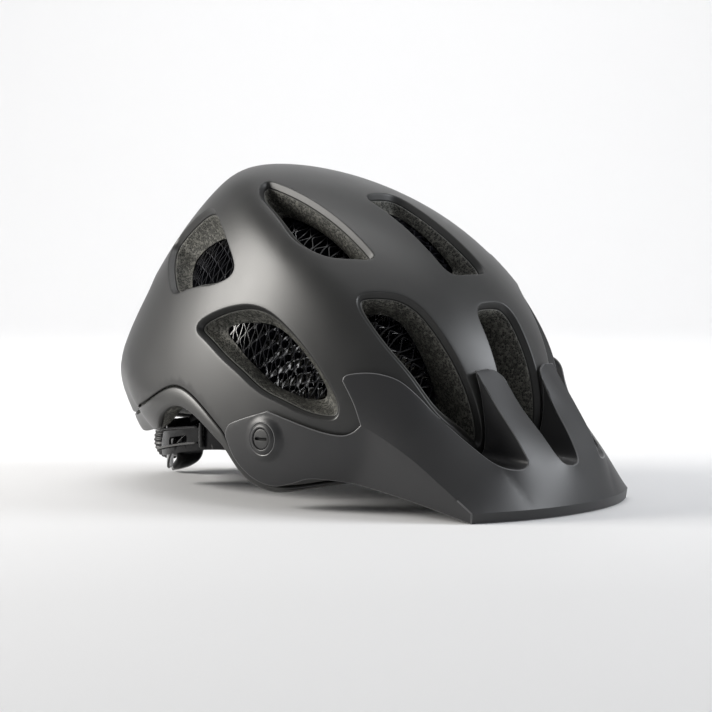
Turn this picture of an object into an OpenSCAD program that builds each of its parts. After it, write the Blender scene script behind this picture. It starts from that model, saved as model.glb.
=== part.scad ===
// Trail-riding helmet with a peak, resting nose-down on the peak's lip and on the rear cradle's hook.
// +Z is up, the wearer faces -Y, the wearer's right is -X, and the table is z = 0.
// The bowl is star-shaped about one core point, so every skin is a distance along a direction.
// A direction is a chart pair [u, v]: degrees away from straight up, u towards +X and v towards +Y.

/* [Bowl] */
// Half width of the side facets
side_half_w = 105; // [103:0.5:107]
// Half length of the crown facet
crown_half_l = 154; // [151:0.5:157]
// Thickness of the outer shell
shell_t = 2; // [1.2:0.1:2.4]
// Half width of the head form
head_half_w = 77; // [74:0.5:78]
// Depth of the recess that holds the cellular liner
liner_recess = 9.5; // [8:0.5:10]
// Width of the groove between the outer and the lower shell, in chart degrees
groove = 1.1; // [0.8:0.1:1.6]

/* [Visor] */
// Wall thickness of the visor
visor_t = 1.8; // [1.5:0.1:2.1]
// Gap between the bowl and the visor's arms
visor_gap = 2; // [1.8:0.1:2.4]
// Height of the visor's pivot above the table
pivot_z = 41; // [39:0.5:43]
// Radius of the visor screw's head
screw_head_r = 5.85; // [5:0.05:6]

/* [Fit system] */
// Radius of the dial
dial_r = 13; // [12:0.5:13.5]
// Thickness of the dial
dial_t = 8; // [6:0.5:9]
// Number of grip ribs on the dial
dial_ribs = 28; // [16:1:36]
// Width of the strap webbing
web_w = 15; // [12:0.5:18]
// Thickness of the strap webbing
web_t = 1.6; // [1.2:0.1:2]

/* [Hidden] */

core = [0, 0, 80];
frame_y = 28.5;             // moves the bowl so that the footprint's centre is the origin
pivot_y = -50;
eps = 0.01;
foam_gap = 2;              // keeps the foam's facets clear of the shell's

// ---------- skins ----------
function clamp01(x) = max(0, min(1, x));
function ease(a, b, x) = let (t = clamp01((x - a) / (b - a))) t * t * (3 - 2 * t);
function unit(u, v) = let (p = norm([u, v]))
    p < 0.001 ? [0, 0, 1] : [sin(p) * u / p, sin(p) * v / p, cos(p)];
function azimuth(d) = atan2(d.y, abs(d.x));
function untilt(p, a) = [p.x, p.y * cos(a) + p.z * sin(a), p.z * cos(a) - p.y * sin(a)];
function scaled(p, s) = [p.x / s.x, p.y / s.y, p.z / s.z];
function root(o, d, s) = let (p = scaled(o, s), q = scaled(d, s), a = q * q, b = q * p, c = p * p - 1)
    (sqrt(b * b - a * c) - b) / a;
// distance from the core to an egg: an ellipsoid whose lower half has its own height
function egg(s, low, c, tilt, d) =
    let (o = untilt(core - c, tilt), q = untilt(d, tilt), t = root(o, q, s))
    o.z + q.z * t < 0 ? root(o, q, [s.x, s.y, low]) : t;

function crown_low(d) = let (a = azimuth(d))
    98 + 24 * (1 - ease(-15, 25, a)) + 9 * ease(20, 50, a) + 40 * ease(50, 85, a);
function r_crown(d) = egg([124, crown_half_l, 98], crown_low(d), [0, -8, 89], 23, d);
function r_side(d) = egg([side_half_w, 167, 233], 233, [0, -13, 16], 27, d);
// the outer skin is the smooth minimum of both facets, which leaves the soft crease between them
function r_out(d) = pow(pow(r_crown(d), -30) + pow(r_side(d), -30), -1 / 30);
function head_low(d) = 400 - 270 * ease(20, 70, azimuth(d));
function r_head(d) = egg([head_half_w, 103, 94], head_low(d), [0, -9, 72], 23, d);
function outer(d, off) = core + d * (r_out(d) + off);
function inner(d, off) = core + d * (r_head(d) + off);

// ---------- edges, as chart radius against azimuth ----------
// one side's stations: azimuth, then the chart radius of the outer shell's lower edge and of the rim
edge_line = [[-90, 112, 116], [-50, 115, 117], [-28, 121, 124], [-18, 118, 122], [-8, 108, 113],
    [14, 97, 104], [36, 103, 113], [64, 107, 114], [90, 104, 109]];
groove_line = [for (q = edge_line) [q[0], q[1]]];
rim_line = [for (q = edge_line) [q[0], q[2]]];
liner_line = [[-90, 92], [-40, 95], [-15, 97], [0, 88], [25, 85], [45, 82], [70, 70], [90, 66]];
function slope(t, i) = i < 1 || i > len(t) - 2 ? 0
    : (t[i + 1][1] - t[i - 1][1]) / (t[i + 1][0] - t[i - 1][0]);
// smooth curve through stations [place, value], level at both ends
function along(x, t, i = 0) = i < len(t) - 2 && x >= t[i + 1][0] ? along(x, t, i + 1)
    : let (h = t[i + 1][0] - t[i][0], f = clamp01((x - t[i][0]) / h), g = 1 - f)
    t[i][1] * g * g * (1 + 2 * f) + t[i + 1][1] * f * f * (3 - 2 * f)
    + h * f * g * (slope(t, i) * g - slope(t, i + 1) * f);
function side_angle(a) = asin(sin(a));      // folds all four quarters onto one side

// ---------- grids and solids ----------
function steps(n) = [for (i = [0:n]) i / n];
// a disc of directions out to an edge, spread over a square grid so that no point is a pole
function disc_grid(n, edge, shrink = 0, reach = 1) = [for (b = [-n:n]) [for (a = [-n:n])
    let (p = a / n, q = b / n, x = p * sqrt(1 - q * q / 2), y = q * sqrt(1 - p * p / 2),
        m = norm([x, y]), az = side_angle(atan2(y, abs(x))), e = (along(az, edge) - shrink) * reach)
    [x * e, y * e, m]]];
// a closed solid between two grids of points of the same size; wrap joins the last column to the first
module slab(top, bottom, wrap = false) {
    r = len(top);
    c = len(top[0]);
    m = wrap ? c : c - 1;
    up = [for (row = top) for (p = row) p];
    down = [for (row = bottom) for (p = row) p];
    n = r * c;
    function id(i, j) = i * c + j % c;
    function flip(i, j) = (i < (r - 1) / 2) != (j < (c - 1) / 2);
    faces = concat(
        [for (i = [0:r - 2]) for (j = [0:m - 1]) each let (a = id(i, j), b = id(i, j + 1),
            e = id(i + 1, j + 1), f = id(i + 1, j))
            flip(i, j) ? [[a, f, b], [b, f, e]] : [[a, e, b], [a, f, e]]],
        [for (i = [0:r - 2]) for (j = [0:m - 1]) each let (a = n + id(i, j), b = n + id(i, j + 1),
            e = n + id(i + 1, j + 1), f = n + id(i + 1, j))
            flip(i, j) ? [[a, b, f], [b, e, f]] : [[a, b, e], [a, e, f]]],
        [for (j = [0:m - 1]) each let (a = id(0, j), b = id(0, j + 1)) [[a, b, n + b], [a, n + b, n + a]]],
        [for (j = [0:m - 1]) each let (a = id(r - 1, j), b = id(r - 1, j + 1))
            [[b, a, n + a], [b, n + a, n + b]]],
        wrap ? [] : [for (i = [0:r - 2]) each let (a = id(i, 0), f = id(i + 1, 0))
            [[f, a, n + a], [f, n + a, n + f]]],
        wrap ? [] : [for (i = [0:r - 2]) each let (b = id(i, c - 1), e = id(i + 1, c - 1))
            [[b, e, n + e], [b, n + e, n + b]]]);
    h = floor(r / 2) - 1;
    k = floor(c / 2) - 1;
    across = cross(top[h][k + 1] - top[h][k], top[h + 1][k] - top[h][k]) * (top[h][k] - bottom[h][k]);
    polyhedron(concat(up, down), across > 0 ? faces : [for (f = faces) [f[0], f[2], f[1]]], convexity = 8);
}
module mirror_x() { children(); mirror([1, 0, 0]) children(); }
module place() translate([0, frame_y, 0]) children();

// ---------- vents, as chart corners and how far the rounding of a corner reaches ----------
vent_rear_side = [[59, -10], [63, 4], [59, 35], [42, 43], [25, 48], [30, 19]];
vent_upper = [[32, -2], [22, 3], [30, -53], [43, -41], [45, -28]];
vent_side = [[76, 18], [65, -26], [68, -77], [82, -62], [91, -37], [88, -10]];
vent_front = [[47, -52], [29, -65], [20, -107], [40, -91], [48, -68]];
vent_rear = [[37, 57], [18, 60], [13, 88], [38, 83]];
half_top = [[9, -25], [11, -66]];
half_brow = [[10, -74], [13, -108]];
half_nape = [[7, 38], [7, 60]];
function both(h) = concat(h, [for (i = [len(h) - 1:-1:0]) [-h[i].x, h[i].y]]);
// replaces each corner by a curve of n steps that starts at reach from it, or nearer on a short side
function rounded(p, reach, n = 2) = [for (i = [0:len(p) - 1]) let (
    a = p[(i + len(p) - 1) % len(p)], b = p[i], c = p[(i + 1) % len(p)],
    s = b + (a - b) * min(0.45, reach / norm(a - b)),
    e = b + (c - b) * min(0.45, reach / norm(c - b)))
    for (f = steps(n)) s * (1 - f) * (1 - f) + 2 * b * f * (1 - f) + e * f * f];
function mean(p) = [for (k = [0, 1]) let (s = [for (q = p) q[k]]) (max(s) + min(s)) / 2];
module vent_cut(p, reach, narrow) {
    c = mean(p);
    hull() for (q = rounded(p, reach)) {
        translate(outer(unit(q.x, q.y), 7)) cube(eps, center = true);
        translate(inner(unit(c.x + (q.x - c.x) * narrow, c.y + (q.y - c.y) * narrow), 5))
            cube(eps, center = true);
    }
}
module vents(narrow) {
    mirror_x() {
        vent_cut(vent_rear_side, 8, narrow);
        vent_cut(vent_upper, 7, narrow);
        vent_cut(vent_side, 14, narrow);
        vent_cut(vent_front, 9, narrow);
        vent_cut(vent_rear, 8, narrow);
    }
    vent_cut(both(half_top), 5, narrow);
    vent_cut(both(half_brow), 5, narrow);
    vent_cut(both(half_nape), 5, narrow);
}

// ---------- bowl ----------
module outer_shell() place() color([0.2, 0.2, 0.2]) {
    g = disc_grid(12, groove_line);
    difference() {
        slab([for (r = g) [for (p = r) outer(unit(p.x, p.y), 0)]],
            [for (r = g) [for (p = r) outer(unit(p.x, p.y), -shell_t)]]);
        vents(0.8);
        pivot_axis(85, 125) circle(5.2, $fn = 24);
    }
}
module lower_shell() place() color([0.24, 0.24, 0.24]) {
    n = 96;
    row = function(f, off) [for (j = [0:n - 1]) let (a = j * 360 / n,
        s = side_angle(atan2(sin(a), abs(cos(a)))),
        p = (along(s, groove_line) + groove) * (1 - f) + along(s, rim_line) * f)
        outer(unit(p * cos(a), p * sin(a)), off)];
    slab([for (f = steps(3)) row(f, -0.2)], [for (f = steps(3)) row(f, -shell_t)], wrap = true);
}
function recess(m) = 6 + (liner_recess - 6) * (1 - ease(0.82, 0.9, m));
module foam_liner() place() color([0.16, 0.16, 0.15]) {
    g = disc_grid(11, rim_line, 0.8);
    difference() {
        slab([for (r = g) [for (p = r) outer(unit(p.x, p.y), -shell_t - foam_gap)]],
            [for (r = g) [for (p = r) inner(unit(p.x, p.y), recess(p.z))]]);
        vents(0.72);
        pivot_axis(80, 101.2) circle(7.6, $fn = 24);
        pivot_axis(80, 125) circle(5.2, $fn = 24);
        anchor_pockets();
    }
}
// the hollows that the strap anchors sit in
module anchor_pockets() mirror_x() for (q = anchor_spots) hull() {
    translate(inner(unit(q.x, q.y), 1)) sphere(8.7, $fn = 12);
    translate(inner(unit(q.x, q.y), 10.5)) sphere(6, $fn = 12);
}
// hexagon-celled lattice that lines the crown
module cell_liner() place() color([0.05, 0.05, 0.06]) {
    g = disc_grid(7, liner_line);
    pitch = 24;
    difference() {
        slab([for (r = g) [for (p = r) inner(unit(p.x, p.y), liner_recess - 1)]],
            [for (r = g) [for (p = r) inner(unit(p.x, p.y), 2.4)]]);
        anchor_pockets();
        for (i = [-3:3]) for (j = [-3:3]) {
            c = [i * pitch * 0.87, (j + (abs(i) % 2) / 2) * pitch - 4];
            if (norm(c) < 0.93 * along(azimuth([c.x, c.y]), liner_line) - 10)
                hull() for (k = [0:60:300], off = [0, liner_recess + 1])
                    let (d = unit(c.x + 10 * cos(k), c.y + 10.6 * sin(k)))
                        translate(inner(d, off)) cube(eps, center = true);
        }
    }
}
// a padded patch on the head form, between chart limits
module pad(u0, u1, v0, v1, t0, t1, n = 6) slab(
    [for (b = steps(n)) [for (a = steps(n)) inner(unit(u0 + (u1 - u0) * a, v0 + (v1 - v0) * b), t1)]],
    [for (b = steps(n)) [for (a = steps(n)) inner(unit(u0 + (u1 - u0) * a, v0 + (v1 - v0) * b), t0)]]);
// a strip on the head form along the rim: azimuth from a0 to a1, chart radius from p0 to p1
module strip(a0, a1, p0, p1, t0, t1, n = 12) {
    pts = function(t) [for (f = steps(2)) [for (s = steps(n)) let (a = a0 + (a1 - a0) * s,
        p = p0 + (p1 - p0) * f) inner(unit(p * cos(a), p * sin(a)), t)]];
    slab(pts(t1), pts(t0));
}
module brow_pad() place() color([0.1, 0.1, 0.1]) strip(-126, -54, 96, 111, -3.5, 0.4);
module crown_pads() place() color([0.1, 0.1, 0.1]) {
    pad(-6, 6, -52, -10, -3.5, 0.4);
    mirror_x() pad(18, 29, -40, 12, -3.5, 0.4);
    pad(-22, 22, 36, 48, -3.5, 0.4);
}
module side_pads() place() color([0.1, 0.1, 0.1])
    mirror_x() pad(52, 64, -34, 10, -3.5, 0.4);

// ---------- visor ----------
// stations from the lip back to the arm's rear corner, as [y, z], below and above
arm_low = [[-171, 0], [-150, 4], [-130, 8], [-108, 13], [-90, 16], [-72, 17], [-58, 14.5], [-47, 14.5],
    [-38, 18], [-29, 28], [-21.5, 43]];
arm_top = [[-175, 6], [-153, 20.5], [-131, 35], [-110, 50], [-98, 45.5], [-86, 47], [-75, 50], [-63, 53.5],
    [-50, 57], [-34, 52], [-22, 45.5]];
// half width of the outer skin at a height and length, found by halving
function half_w(y, z, off, lo = 20, hi = 140, n = 22) =
    let (x = (lo + hi) / 2, p = [x, y, z] - core, r = norm(p))
    n == 0 ? x : r < r_out(p / r) + off ? half_w(y, z, off, x, hi, n - 1) : half_w(y, z, off, lo, x, n - 1);
// the visor leaves the bowl's side in front of the arm and runs straight to the lip's corner
function wall_x(y, z, off) = let (f = ease(-100, -150, y), far = 76 + 0.2 * (y + 175) + off - visor_t)
    f >= 1 ? far : (1 - f) * half_w(max(y, -132), z, visor_gap + off) + f * far;
function wall_pt(q, off) = [wall_x(q.x, q.y, off), q.x, q.y];
module visor_wall() {
    function pts(off) = [for (f = steps(4)) [for (i = [0:len(arm_low) - 1])
        wall_pt(arm_low[i] * (1 - f) + arm_top[i] * f, off)]];
    slab(pts(0), pts(visor_t));
}
// upper edge of the side panel, from the lip's ridge to the bowl's side, as points
ridge = [[40, lip_y(40), 6], [45, -183, 18], [50, -175.5, 30], [57, -163, 39.5], [64, -148, 51],
    [72, -133, 64], [80, -123, 74.5], [88, -112, 79], [94, -99, 79]];
crease = [for (i = [0:8]) let (f = i / 8, y = -175 + 66 * f, z = 6 + 44.5 * f) [wall_x(y, z, visor_t), y, z]];
module visor_side() {
    n = len(ridge);
    function at(i, f) = let (a = crease[i], b = ridge[i],
        bow = 2.5 * sin(180 * f) * sin(min(90, 180 * i / (n - 1))))
        a * (1 - f) + b * f + [0.7, -0.6, 0.4] * bow;
    top = [for (f = steps(6)) [for (i = [0:n - 1]) at(i, f)]];
    low = [for (f = steps(6)) [for (i = [0:n - 1]) at(i, f) - visor_t * [0.55, -0.66, 0.5]]];
    slab(low, top);
}
function lip_y(x) = -195.5 + 20.5 * pow(abs(x) / 76, 2.2);
module visor_front() {
    xs = [for (i = [-8:8]) i * 5];
    function pts(off) = [for (f = steps(3)) [for (x = xs) let (m = abs(x) / 40,
        y0 = lip_y(x), y1 = -188.7 + 13.2 * m * m, z1 = 27.5 + 2.5 * m * m)
        [x * (1 + 0.25 * f), y0 * (1 - f) + y1 * f + off, 6 + (z1 - 6) * f - off * 0.4]]];
    slab(pts(visor_t), pts(0));
}
module visor_lip() {
    n = 24;
    function pts(off, wide) = [for (z = [0, 6.5]) [for (i = [0:n]) let (x = -wide + 2 * wide * i / n)
        [x, lip_y(x * 76 / wide) + off, z]]];
    slab(pts(visor_t + 0.6, 73), pts(0, 75.5));
}
// one centre fin: a hood that rises from the front panel to the bowl, drawn as short tapering blocks
fin_line = [[-188, 29, 13, 9], [-177, 43, 11.5, 9], [-166.5, 57, 10.5, 6], [-157, 69, 9.5, 2],
    [-151, 79, 8.5, 0.6]];
module visor_fin() {
    function x0(i) = 21.5 + 5.5 * i / 4;
    for (i = [0:3]) hull() for (k = [i, i + 1]) let (q = fin_line[k])
        for (s = [-1, 1]) {
            translate([x0(k) + s * q[2], q[0], q[1]]) cube(0.6, center = true);
            translate([x0(k) + s * (q[2] - 1.5), q[0] + q[3], q[1] - 0.6 * q[3]]) cube(0.6, center = true);
        }
}
module visor() place() color([0.25, 0.25, 0.26]) difference() {
    union() {
        mirror_x() {
            visor_wall();
            visor_side();
            visor_fin();
        }
        visor_front();
        visor_lip();
    }
    pivot_axis(80, 125) circle(9, $fn = 40);
    translate([-150, -250, -20]) cube([300, 300, 20]);
}
// turns a flat outline into prisms along the pivot's axis, from half width a to b, on both sides
module pivot_axis(a, b) mirror_x() pivot_side(a, b) children();
module pivot_side(a, b) translate([a, pivot_y, pivot_z]) rotate([0, 90, 0]) linear_extrude(b - a) children();
bush_in = 105.3;
bush_out = 108.6;
head_in = 106.6;
head_out = 108.3;
module visor_bush(side) place() color([0.22, 0.22, 0.22]) scale_x(side) difference() {
    pivot_side(bush_in, bush_out) circle(8.9, $fn = 64);
    pivot_side(bush_in - 1, head_in + 1) circle(4.25, $fn = 48);
    pivot_side(head_in - 0.05, bush_out + 1) circle(screw_head_r + 0.2, $fn = 48);
}
module scale_x(side) mirror([side < 0 ? 1 : 0, 0, 0]) children();
module visor_screw(side) place() color([0.2, 0.2, 0.2]) scale_x(side) difference() {
    union() {
        pivot_side(head_in, head_out) circle(screw_head_r, $fn = 48);
        pivot_side(102, head_in) circle(4.2, $fn = 48);
        pivot_side(90, 102) circle(2.5, $fn = 32);
    }
    translate([head_out - 0.9, pivot_y - 4.6, pivot_z - 0.6]) cube([2, 9.2, 1.2]);
}
module visor_insert(side) place() color([0.7, 0.6, 0.3]) scale_x(side) difference() {
    union() {
        pivot_side(88, 100.8) circle(4.6, $fn = 48);
        pivot_side(88, 90) circle(7.2, $fn = 48);
    }
    pivot_side(87, 103) circle(2.55, $fn = 32);
}

// ---------- fit system ----------
pin_spot = [65, -80];       // chart place of the temple pins
arm_pivot = inner(unit(pin_spot.x, pin_spot.y), 2.4);
dial_c = [0, 121, 21.5];
yoke_tuck = 3;               // the yoke's ends lie closer to the head than the arms that pass over them
// how far the loosened cradle stands off the back of the head
function slack(a) = 14 * ease(45, 90, side_angle(a));
// a strip on the head form along the rim, from azimuth a0 to a1, with its edges as functions of s in 0 to 1
module belt(a0, a1, upper, lower, t0, t1, n, tuck = 0) {
    pts = function(t) [for (f = steps(3)) [for (s = steps(n)) let (a = a0 + (a1 - a0) * s,
        p = upper(s) * (1 - f) + lower(s) * f, in = tuck * (1 - ease(50, 75, side_angle(a))))
        inner(unit(p * cos(a), p * sin(a)), t + slack(a) - in)]];
    slab(pts(t1), pts(t0));
}
module height_rail() place() color([0.3, 0.3, 0.3]) pad(-9, 9, 72, 94, 3.2, 5.4, 4);
module height_slider() place() color([0.08, 0.08, 0.08]) pad(-7, 7, 76, 104, 1.2, 2.6, 5);
module cradle_arm(side) place() color([0.08, 0.08, 0.08]) scale_x(side) difference() {
    mid = function(s) 103 + 16 * ease(0, 0.55, s);
    belt(-56, 50, function(s) mid(s) - 4.5 + s, function(s) mid(s) + 4.5 - s, 1.6, 3.2, 16);
    arm_axis(40, 110) circle(2.06, $fn = 32);
}
module arm_axis(a, b) translate([a, arm_pivot.y, arm_pivot.z]) rotate([0, 90, 0])
    linear_extrude(b - a) children();
module arm_pin(side) place() color([0.3, 0.3, 0.3]) scale_x(side) {
    arm_axis(arm_pivot.x - 5, arm_pivot.x + 7) circle(2, $fn = 32);
    arm_axis(arm_pivot.x + 6, arm_pivot.x + 8) circle(4, $fn = 32);
}
module cradle_yoke() place() color([0.04, 0.04, 0.05]) {
    off_centre = function(s) abs(2 * s - 1);
    belt(32, 148, function(s) 113.5, function(s) let (m = off_centre(s))
        121 + 6 * ease(0.35, 0.5, m) - 8 * ease(0.5, 1, m), -1, 0.8, 28, yoke_tuck);
    bars(hanger_line);
    bars(hook_line);
}
// flat bars drawn as [length, height, half width, thickness] stations
hanger_line = [[96.5, 68, 6, 1.6], [97, 50, 6, 1.6], [100, 40, 6, 1.8], [110.3, 29, 8, 1.8]];
// the tongue below the dial that the helmet stands on
hook_line = [[109, 21, 13, 2.6], [108.8, 11, 10, 3.2], [114, 5.5, 7.5, 3.4], [125, 0, 3, 3.4]];
module bars(line) for (i = [0:len(line) - 2]) hull() for (k = [i, i + 1]) let (q = line[k])
    translate([-q[2], q[0] - q[3] / 2, q[1]]) cube([2 * q[2], q[3], eps]);
module dial_axis(a, b) translate([0, a, dial_c.z]) rotate([-90, 0, 0]) linear_extrude(b - a) children();
module dial_housing() place() color([0.06, 0.06, 0.06]) difference() {
    dial_axis(112.4, dial_c.y - 0.5) circle(11.5, $fn = 64);
    dial_axis(114.4, dial_c.y) circle(9.1, $fn = 48);
}
module lace_spool() place() color([0.5, 0.5, 0.5]) difference() {
    dial_axis(115, dial_c.y - 0.2) circle(9, $fn = 48);
    dial_axis(116.5, dial_c.y - 1.5) difference() {
        circle(10, $fn = 48);
        circle(7, $fn = 48);
    }
}
module dial() place() color([0.05, 0.05, 0.05]) {
    dial_axis(dial_c.y, dial_c.y + dial_t) difference() {
        circle(dial_r, $fn = 96);
        for (k = [0:dial_ribs - 1]) rotate(k * 360 / dial_ribs) translate([dial_r + 0.2, 0])
            circle(0.8, $fn = 16);
    }
}
// one strand of lace from the dial forwards to its guide on the arm
module strand(p) for (i = [0:5]) hull() for (k = [i, i + 1]) let (a = 70 - 51 * k / 6)
    translate(inner(unit(p * cos(a), p * sin(a)), 5.2 + slack(a))) sphere(0.6, $fn = 8);
module lace(side) place() color([0.1, 0.1, 0.1]) scale_x(side) {
    strand(115);
    strand(120);
}
module lace_guide(side) place() color([0.3, 0.3, 0.3]) scale_x(side) hull() for (p = [114, 121])
    translate(inner(unit(p * cos(16), p * sin(16)), 5.2)) sphere(1.4, $fn = 12);

// ---------- straps, stowed inside the bowl ----------
anchor_spots = [[63, -71], [84, 36]];
module strap_anchors() place() color([0.1, 0.1, 0.1]) mirror_x() for (q = anchor_spots)
    translate(inner(unit(q.x, q.y), 11.5)) sphere(3.5, $fn = 24);
// chart routes of one side's webbing as [u, v, offset]: from both anchors to the divider, then over the crown
front_leg = [[63, -71, 3.5], [61, -66, -5.2], [53, -50, -6.2], [47, -32, -6.2]];
rear_leg = [[84, 36, 3.5], [81, 32, -5.2], [64, 14, -6.2], [50, -8, -6.2]];
crown_leg = [[39, -20, -6.2], [28, -19, -6.2], [17, -18, -6.2], [13, -17.5, -17]];
module web(path, n) {
    pts = [for (q = path) inner(unit(q.x, q.y), q[2])];
    function side_of(i) = let (t = pts[min(i + 1, n)] - pts[max(i - 1, 0)], w = cross(t, pts[i] - core))
        w / norm(w) * (web_w - web_t) / 2;
    for (i = [0:n - 1]) hull() for (k = [i, i + 1], s = [-1, 1])
        translate(pts[k] + s * side_of(k)) sphere(web_t / 2, $fn = 8);
}
module strap(side) place() color([0.08, 0.08, 0.08]) scale_x(side) {
    web(front_leg, 3);
    web(rear_leg, 3);
    // the right one stops where the latch needs room to slide out
    web(crown_leg, side > 0 ? 3 : 2);
}
module strap_dividers() place() color([0.06, 0.06, 0.06]) mirror_x()
    translate(inner(unit(45, -21), -11.2)) rotate([0, 45, 0]) cube([14, 24, 2.2], center = true);
buckle_at = [0, -23, inner([0, 0, 1], -22).z];
module buckle_body() place() color([0.05, 0.05, 0.05]) translate(buckle_at) difference() {
    translate([-17, -10, -5]) cube([30, 20, 8]);
    translate([-17.5, -7.05, -3.05]) cube([20, 14.1, 4.1]);
}
module buckle_latch() place() color([0.12, 0.12, 0.12]) translate(buckle_at) {
    translate([-17.4, -7, -3]) cube([19.4, 14, 4]);
    translate([-21, -9, -4]) cube([3.8, 18, 4.4]);
}
module strap_keeper() place() color([0.05, 0.05, 0.05]) {
    ends = [for (q = [crown_leg[1], crown_leg[0]]) inner(unit(q.x, q.y), q[2])];
    mid = (ends[0] + ends[1]) / 2;
    run = (ends[1] - ends[0]) / norm(ends[1] - ends[0]);
    wide = cross(mid - core, run) / norm(cross(mid - core, run));
    up = cross(run, wide);
    multmatrix([for (k = [0:2]) [run[k], wide[k], up[k], mid[k]]]) difference() {
        cube([5, 20, 5.2], center = true);
        cube([6, 17, 3.4], center = true);
    }
}

outer_shell();
lower_shell();
foam_liner();
cell_liner();
brow_pad();
crown_pads();
side_pads();
visor();
visor_bush(-1);  // visor_bush_right
visor_bush(1);  // visor_bush_left
visor_screw(-1);  // visor_screw_right
visor_screw(1);  // visor_screw_left
visor_insert(-1);  // visor_insert_right
visor_insert(1);  // visor_insert_left
height_rail();
height_slider();
arm_pin(-1);  // arm_pin_right
arm_pin(1);  // arm_pin_left
cradle_arm(-1);  // cradle_arm_right
cradle_arm(1);  // cradle_arm_left
cradle_yoke();
dial_housing();
dial();
lace_spool();
lace(-1);  // lace_right
lace(1);  // lace_left
lace_guide(-1);  // lace_guide_right
lace_guide(1);  // lace_guide_left
strap_anchors();
strap(-1);  // strap_right
strap(1);  // strap_left
strap_dividers();
buckle_body();
buckle_latch();
strap_keeper();
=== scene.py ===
"""Looks of a trail-riding helmet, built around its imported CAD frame.

Shapes are worked out in millimetres in the bowl's own frame, where the wearer faces -Y. The bowl's skins are
distances from one core point along directions given by a chart pair (u, v): degrees from straight up, with u
towards +X and v towards +Y. Builder.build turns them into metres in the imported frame.
"""

import math

import bmesh
import bpy
import numpy as np
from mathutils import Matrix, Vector
from mathutils.bvhtree import BVHTree
from mathutils.geometry import delaunay_2d_cdt


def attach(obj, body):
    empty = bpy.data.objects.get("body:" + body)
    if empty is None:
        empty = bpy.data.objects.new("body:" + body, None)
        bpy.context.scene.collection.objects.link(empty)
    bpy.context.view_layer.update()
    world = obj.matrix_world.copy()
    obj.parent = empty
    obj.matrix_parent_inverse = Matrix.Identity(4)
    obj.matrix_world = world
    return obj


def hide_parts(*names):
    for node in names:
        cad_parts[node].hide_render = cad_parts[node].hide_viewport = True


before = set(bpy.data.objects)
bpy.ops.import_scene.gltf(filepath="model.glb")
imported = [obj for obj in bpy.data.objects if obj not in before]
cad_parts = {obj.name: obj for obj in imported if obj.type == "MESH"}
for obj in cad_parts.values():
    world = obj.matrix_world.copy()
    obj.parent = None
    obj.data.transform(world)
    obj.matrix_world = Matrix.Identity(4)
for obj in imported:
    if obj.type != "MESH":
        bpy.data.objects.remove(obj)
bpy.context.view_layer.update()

MM = 0.001
FRAME_SHIFT = np.array([0.0, 28.5, 0.0])   # bowl frame to row frame
CORE = np.array([0.0, 0.0, 80.0])

# ---------------------------------------------------------------- skins


def ease(a, b, x):
    t = np.clip((np.asarray(x, float) - a) / (b - a), 0, 1)
    return t * t * (3 - 2 * t)


def unit(uv):
    """Directions of chart points."""
    uv = np.asarray(uv, float)
    polar = np.maximum(np.linalg.norm(uv, axis=-1), 1e-6)
    side = np.sin(np.radians(polar)) / polar
    return np.stack([uv[..., 0] * side, uv[..., 1] * side, np.cos(np.radians(polar))], -1)


def azimuth(d):
    return np.degrees(np.arctan2(d[..., 1], np.abs(d[..., 0])))


def untilt(p, angle):
    c, s = math.cos(math.radians(angle)), math.sin(math.radians(angle))
    return np.stack([p[..., 0], p[..., 1] * c + p[..., 2] * s, p[..., 2] * c - p[..., 1] * s], -1)


def ray_root(o, d, semi):
    p, q = o / semi, d / semi
    a, b, c = (q * q).sum(-1), (q * p).sum(-1), (p * p).sum(-1) - 1
    return (np.sqrt(b * b - a * c) - b) / a


def egg(semi, low, centre, tilt, d):
    """Distance from the core to an ellipsoid whose lower half has its own height."""
    o = np.broadcast_to(untilt(CORE - np.array(centre, float), tilt), d.shape)
    q = untilt(d, tilt)
    upper = np.broadcast_to(np.array(semi, float), d.shape)
    lower = upper.copy()
    lower[..., 2] = low
    t = ray_root(o, q, upper)
    return np.where(o[..., 2] + q[..., 2] * t < 0, ray_root(o, q, lower), t)


def outer_radius(d):
    a = azimuth(d)
    crown_low = 98 + 24 * (1 - ease(-15, 25, a)) + 9 * ease(20, 50, a) + 40 * ease(50, 85, a)
    crown = egg([124, 154, 98], crown_low, [0, -8, 89], 23, d)
    side = egg([105, 167, 233], 233, [0, -13, 16], 27, d)
    return (crown ** -30.0 + side ** -30.0) ** (-1 / 30)


def head_radius(d):
    head_low = 400 - 270 * ease(20, 70, azimuth(d))
    return egg([77, 103, 94], head_low, [0, -9, 72], 23, d)


def outer(uv, off=0.0):
    d = unit(uv)
    return CORE + d * (outer_radius(d) + off)[..., None]


def inner(uv, off=0.0):
    d = unit(uv)
    return CORE + d * (head_radius(d) + off)[..., None]


def along(x, table):
    """Smooth curve through a table of (place, value), level at both ends."""
    table = np.asarray(table, float)
    px, py = table[:, 0], table[:, 1]
    slope = np.zeros(len(px))
    slope[1:-1] = (py[2:] - py[:-2]) / (px[2:] - px[:-2])
    i = np.clip(np.searchsorted(px, x, "right") - 1, 0, len(px) - 2)
    h = px[i + 1] - px[i]
    t = np.clip((x - px[i]) / h, 0, 1)
    a, b = 2 * t ** 3 - 3 * t ** 2 + 1, t ** 3 - 2 * t ** 2 + t
    c, e = 3 * t ** 2 - 2 * t ** 3, t ** 3 - t ** 2
    return a * py[i] + b * h * slope[i] + c * py[i + 1] + e * h * slope[i + 1]


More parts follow.
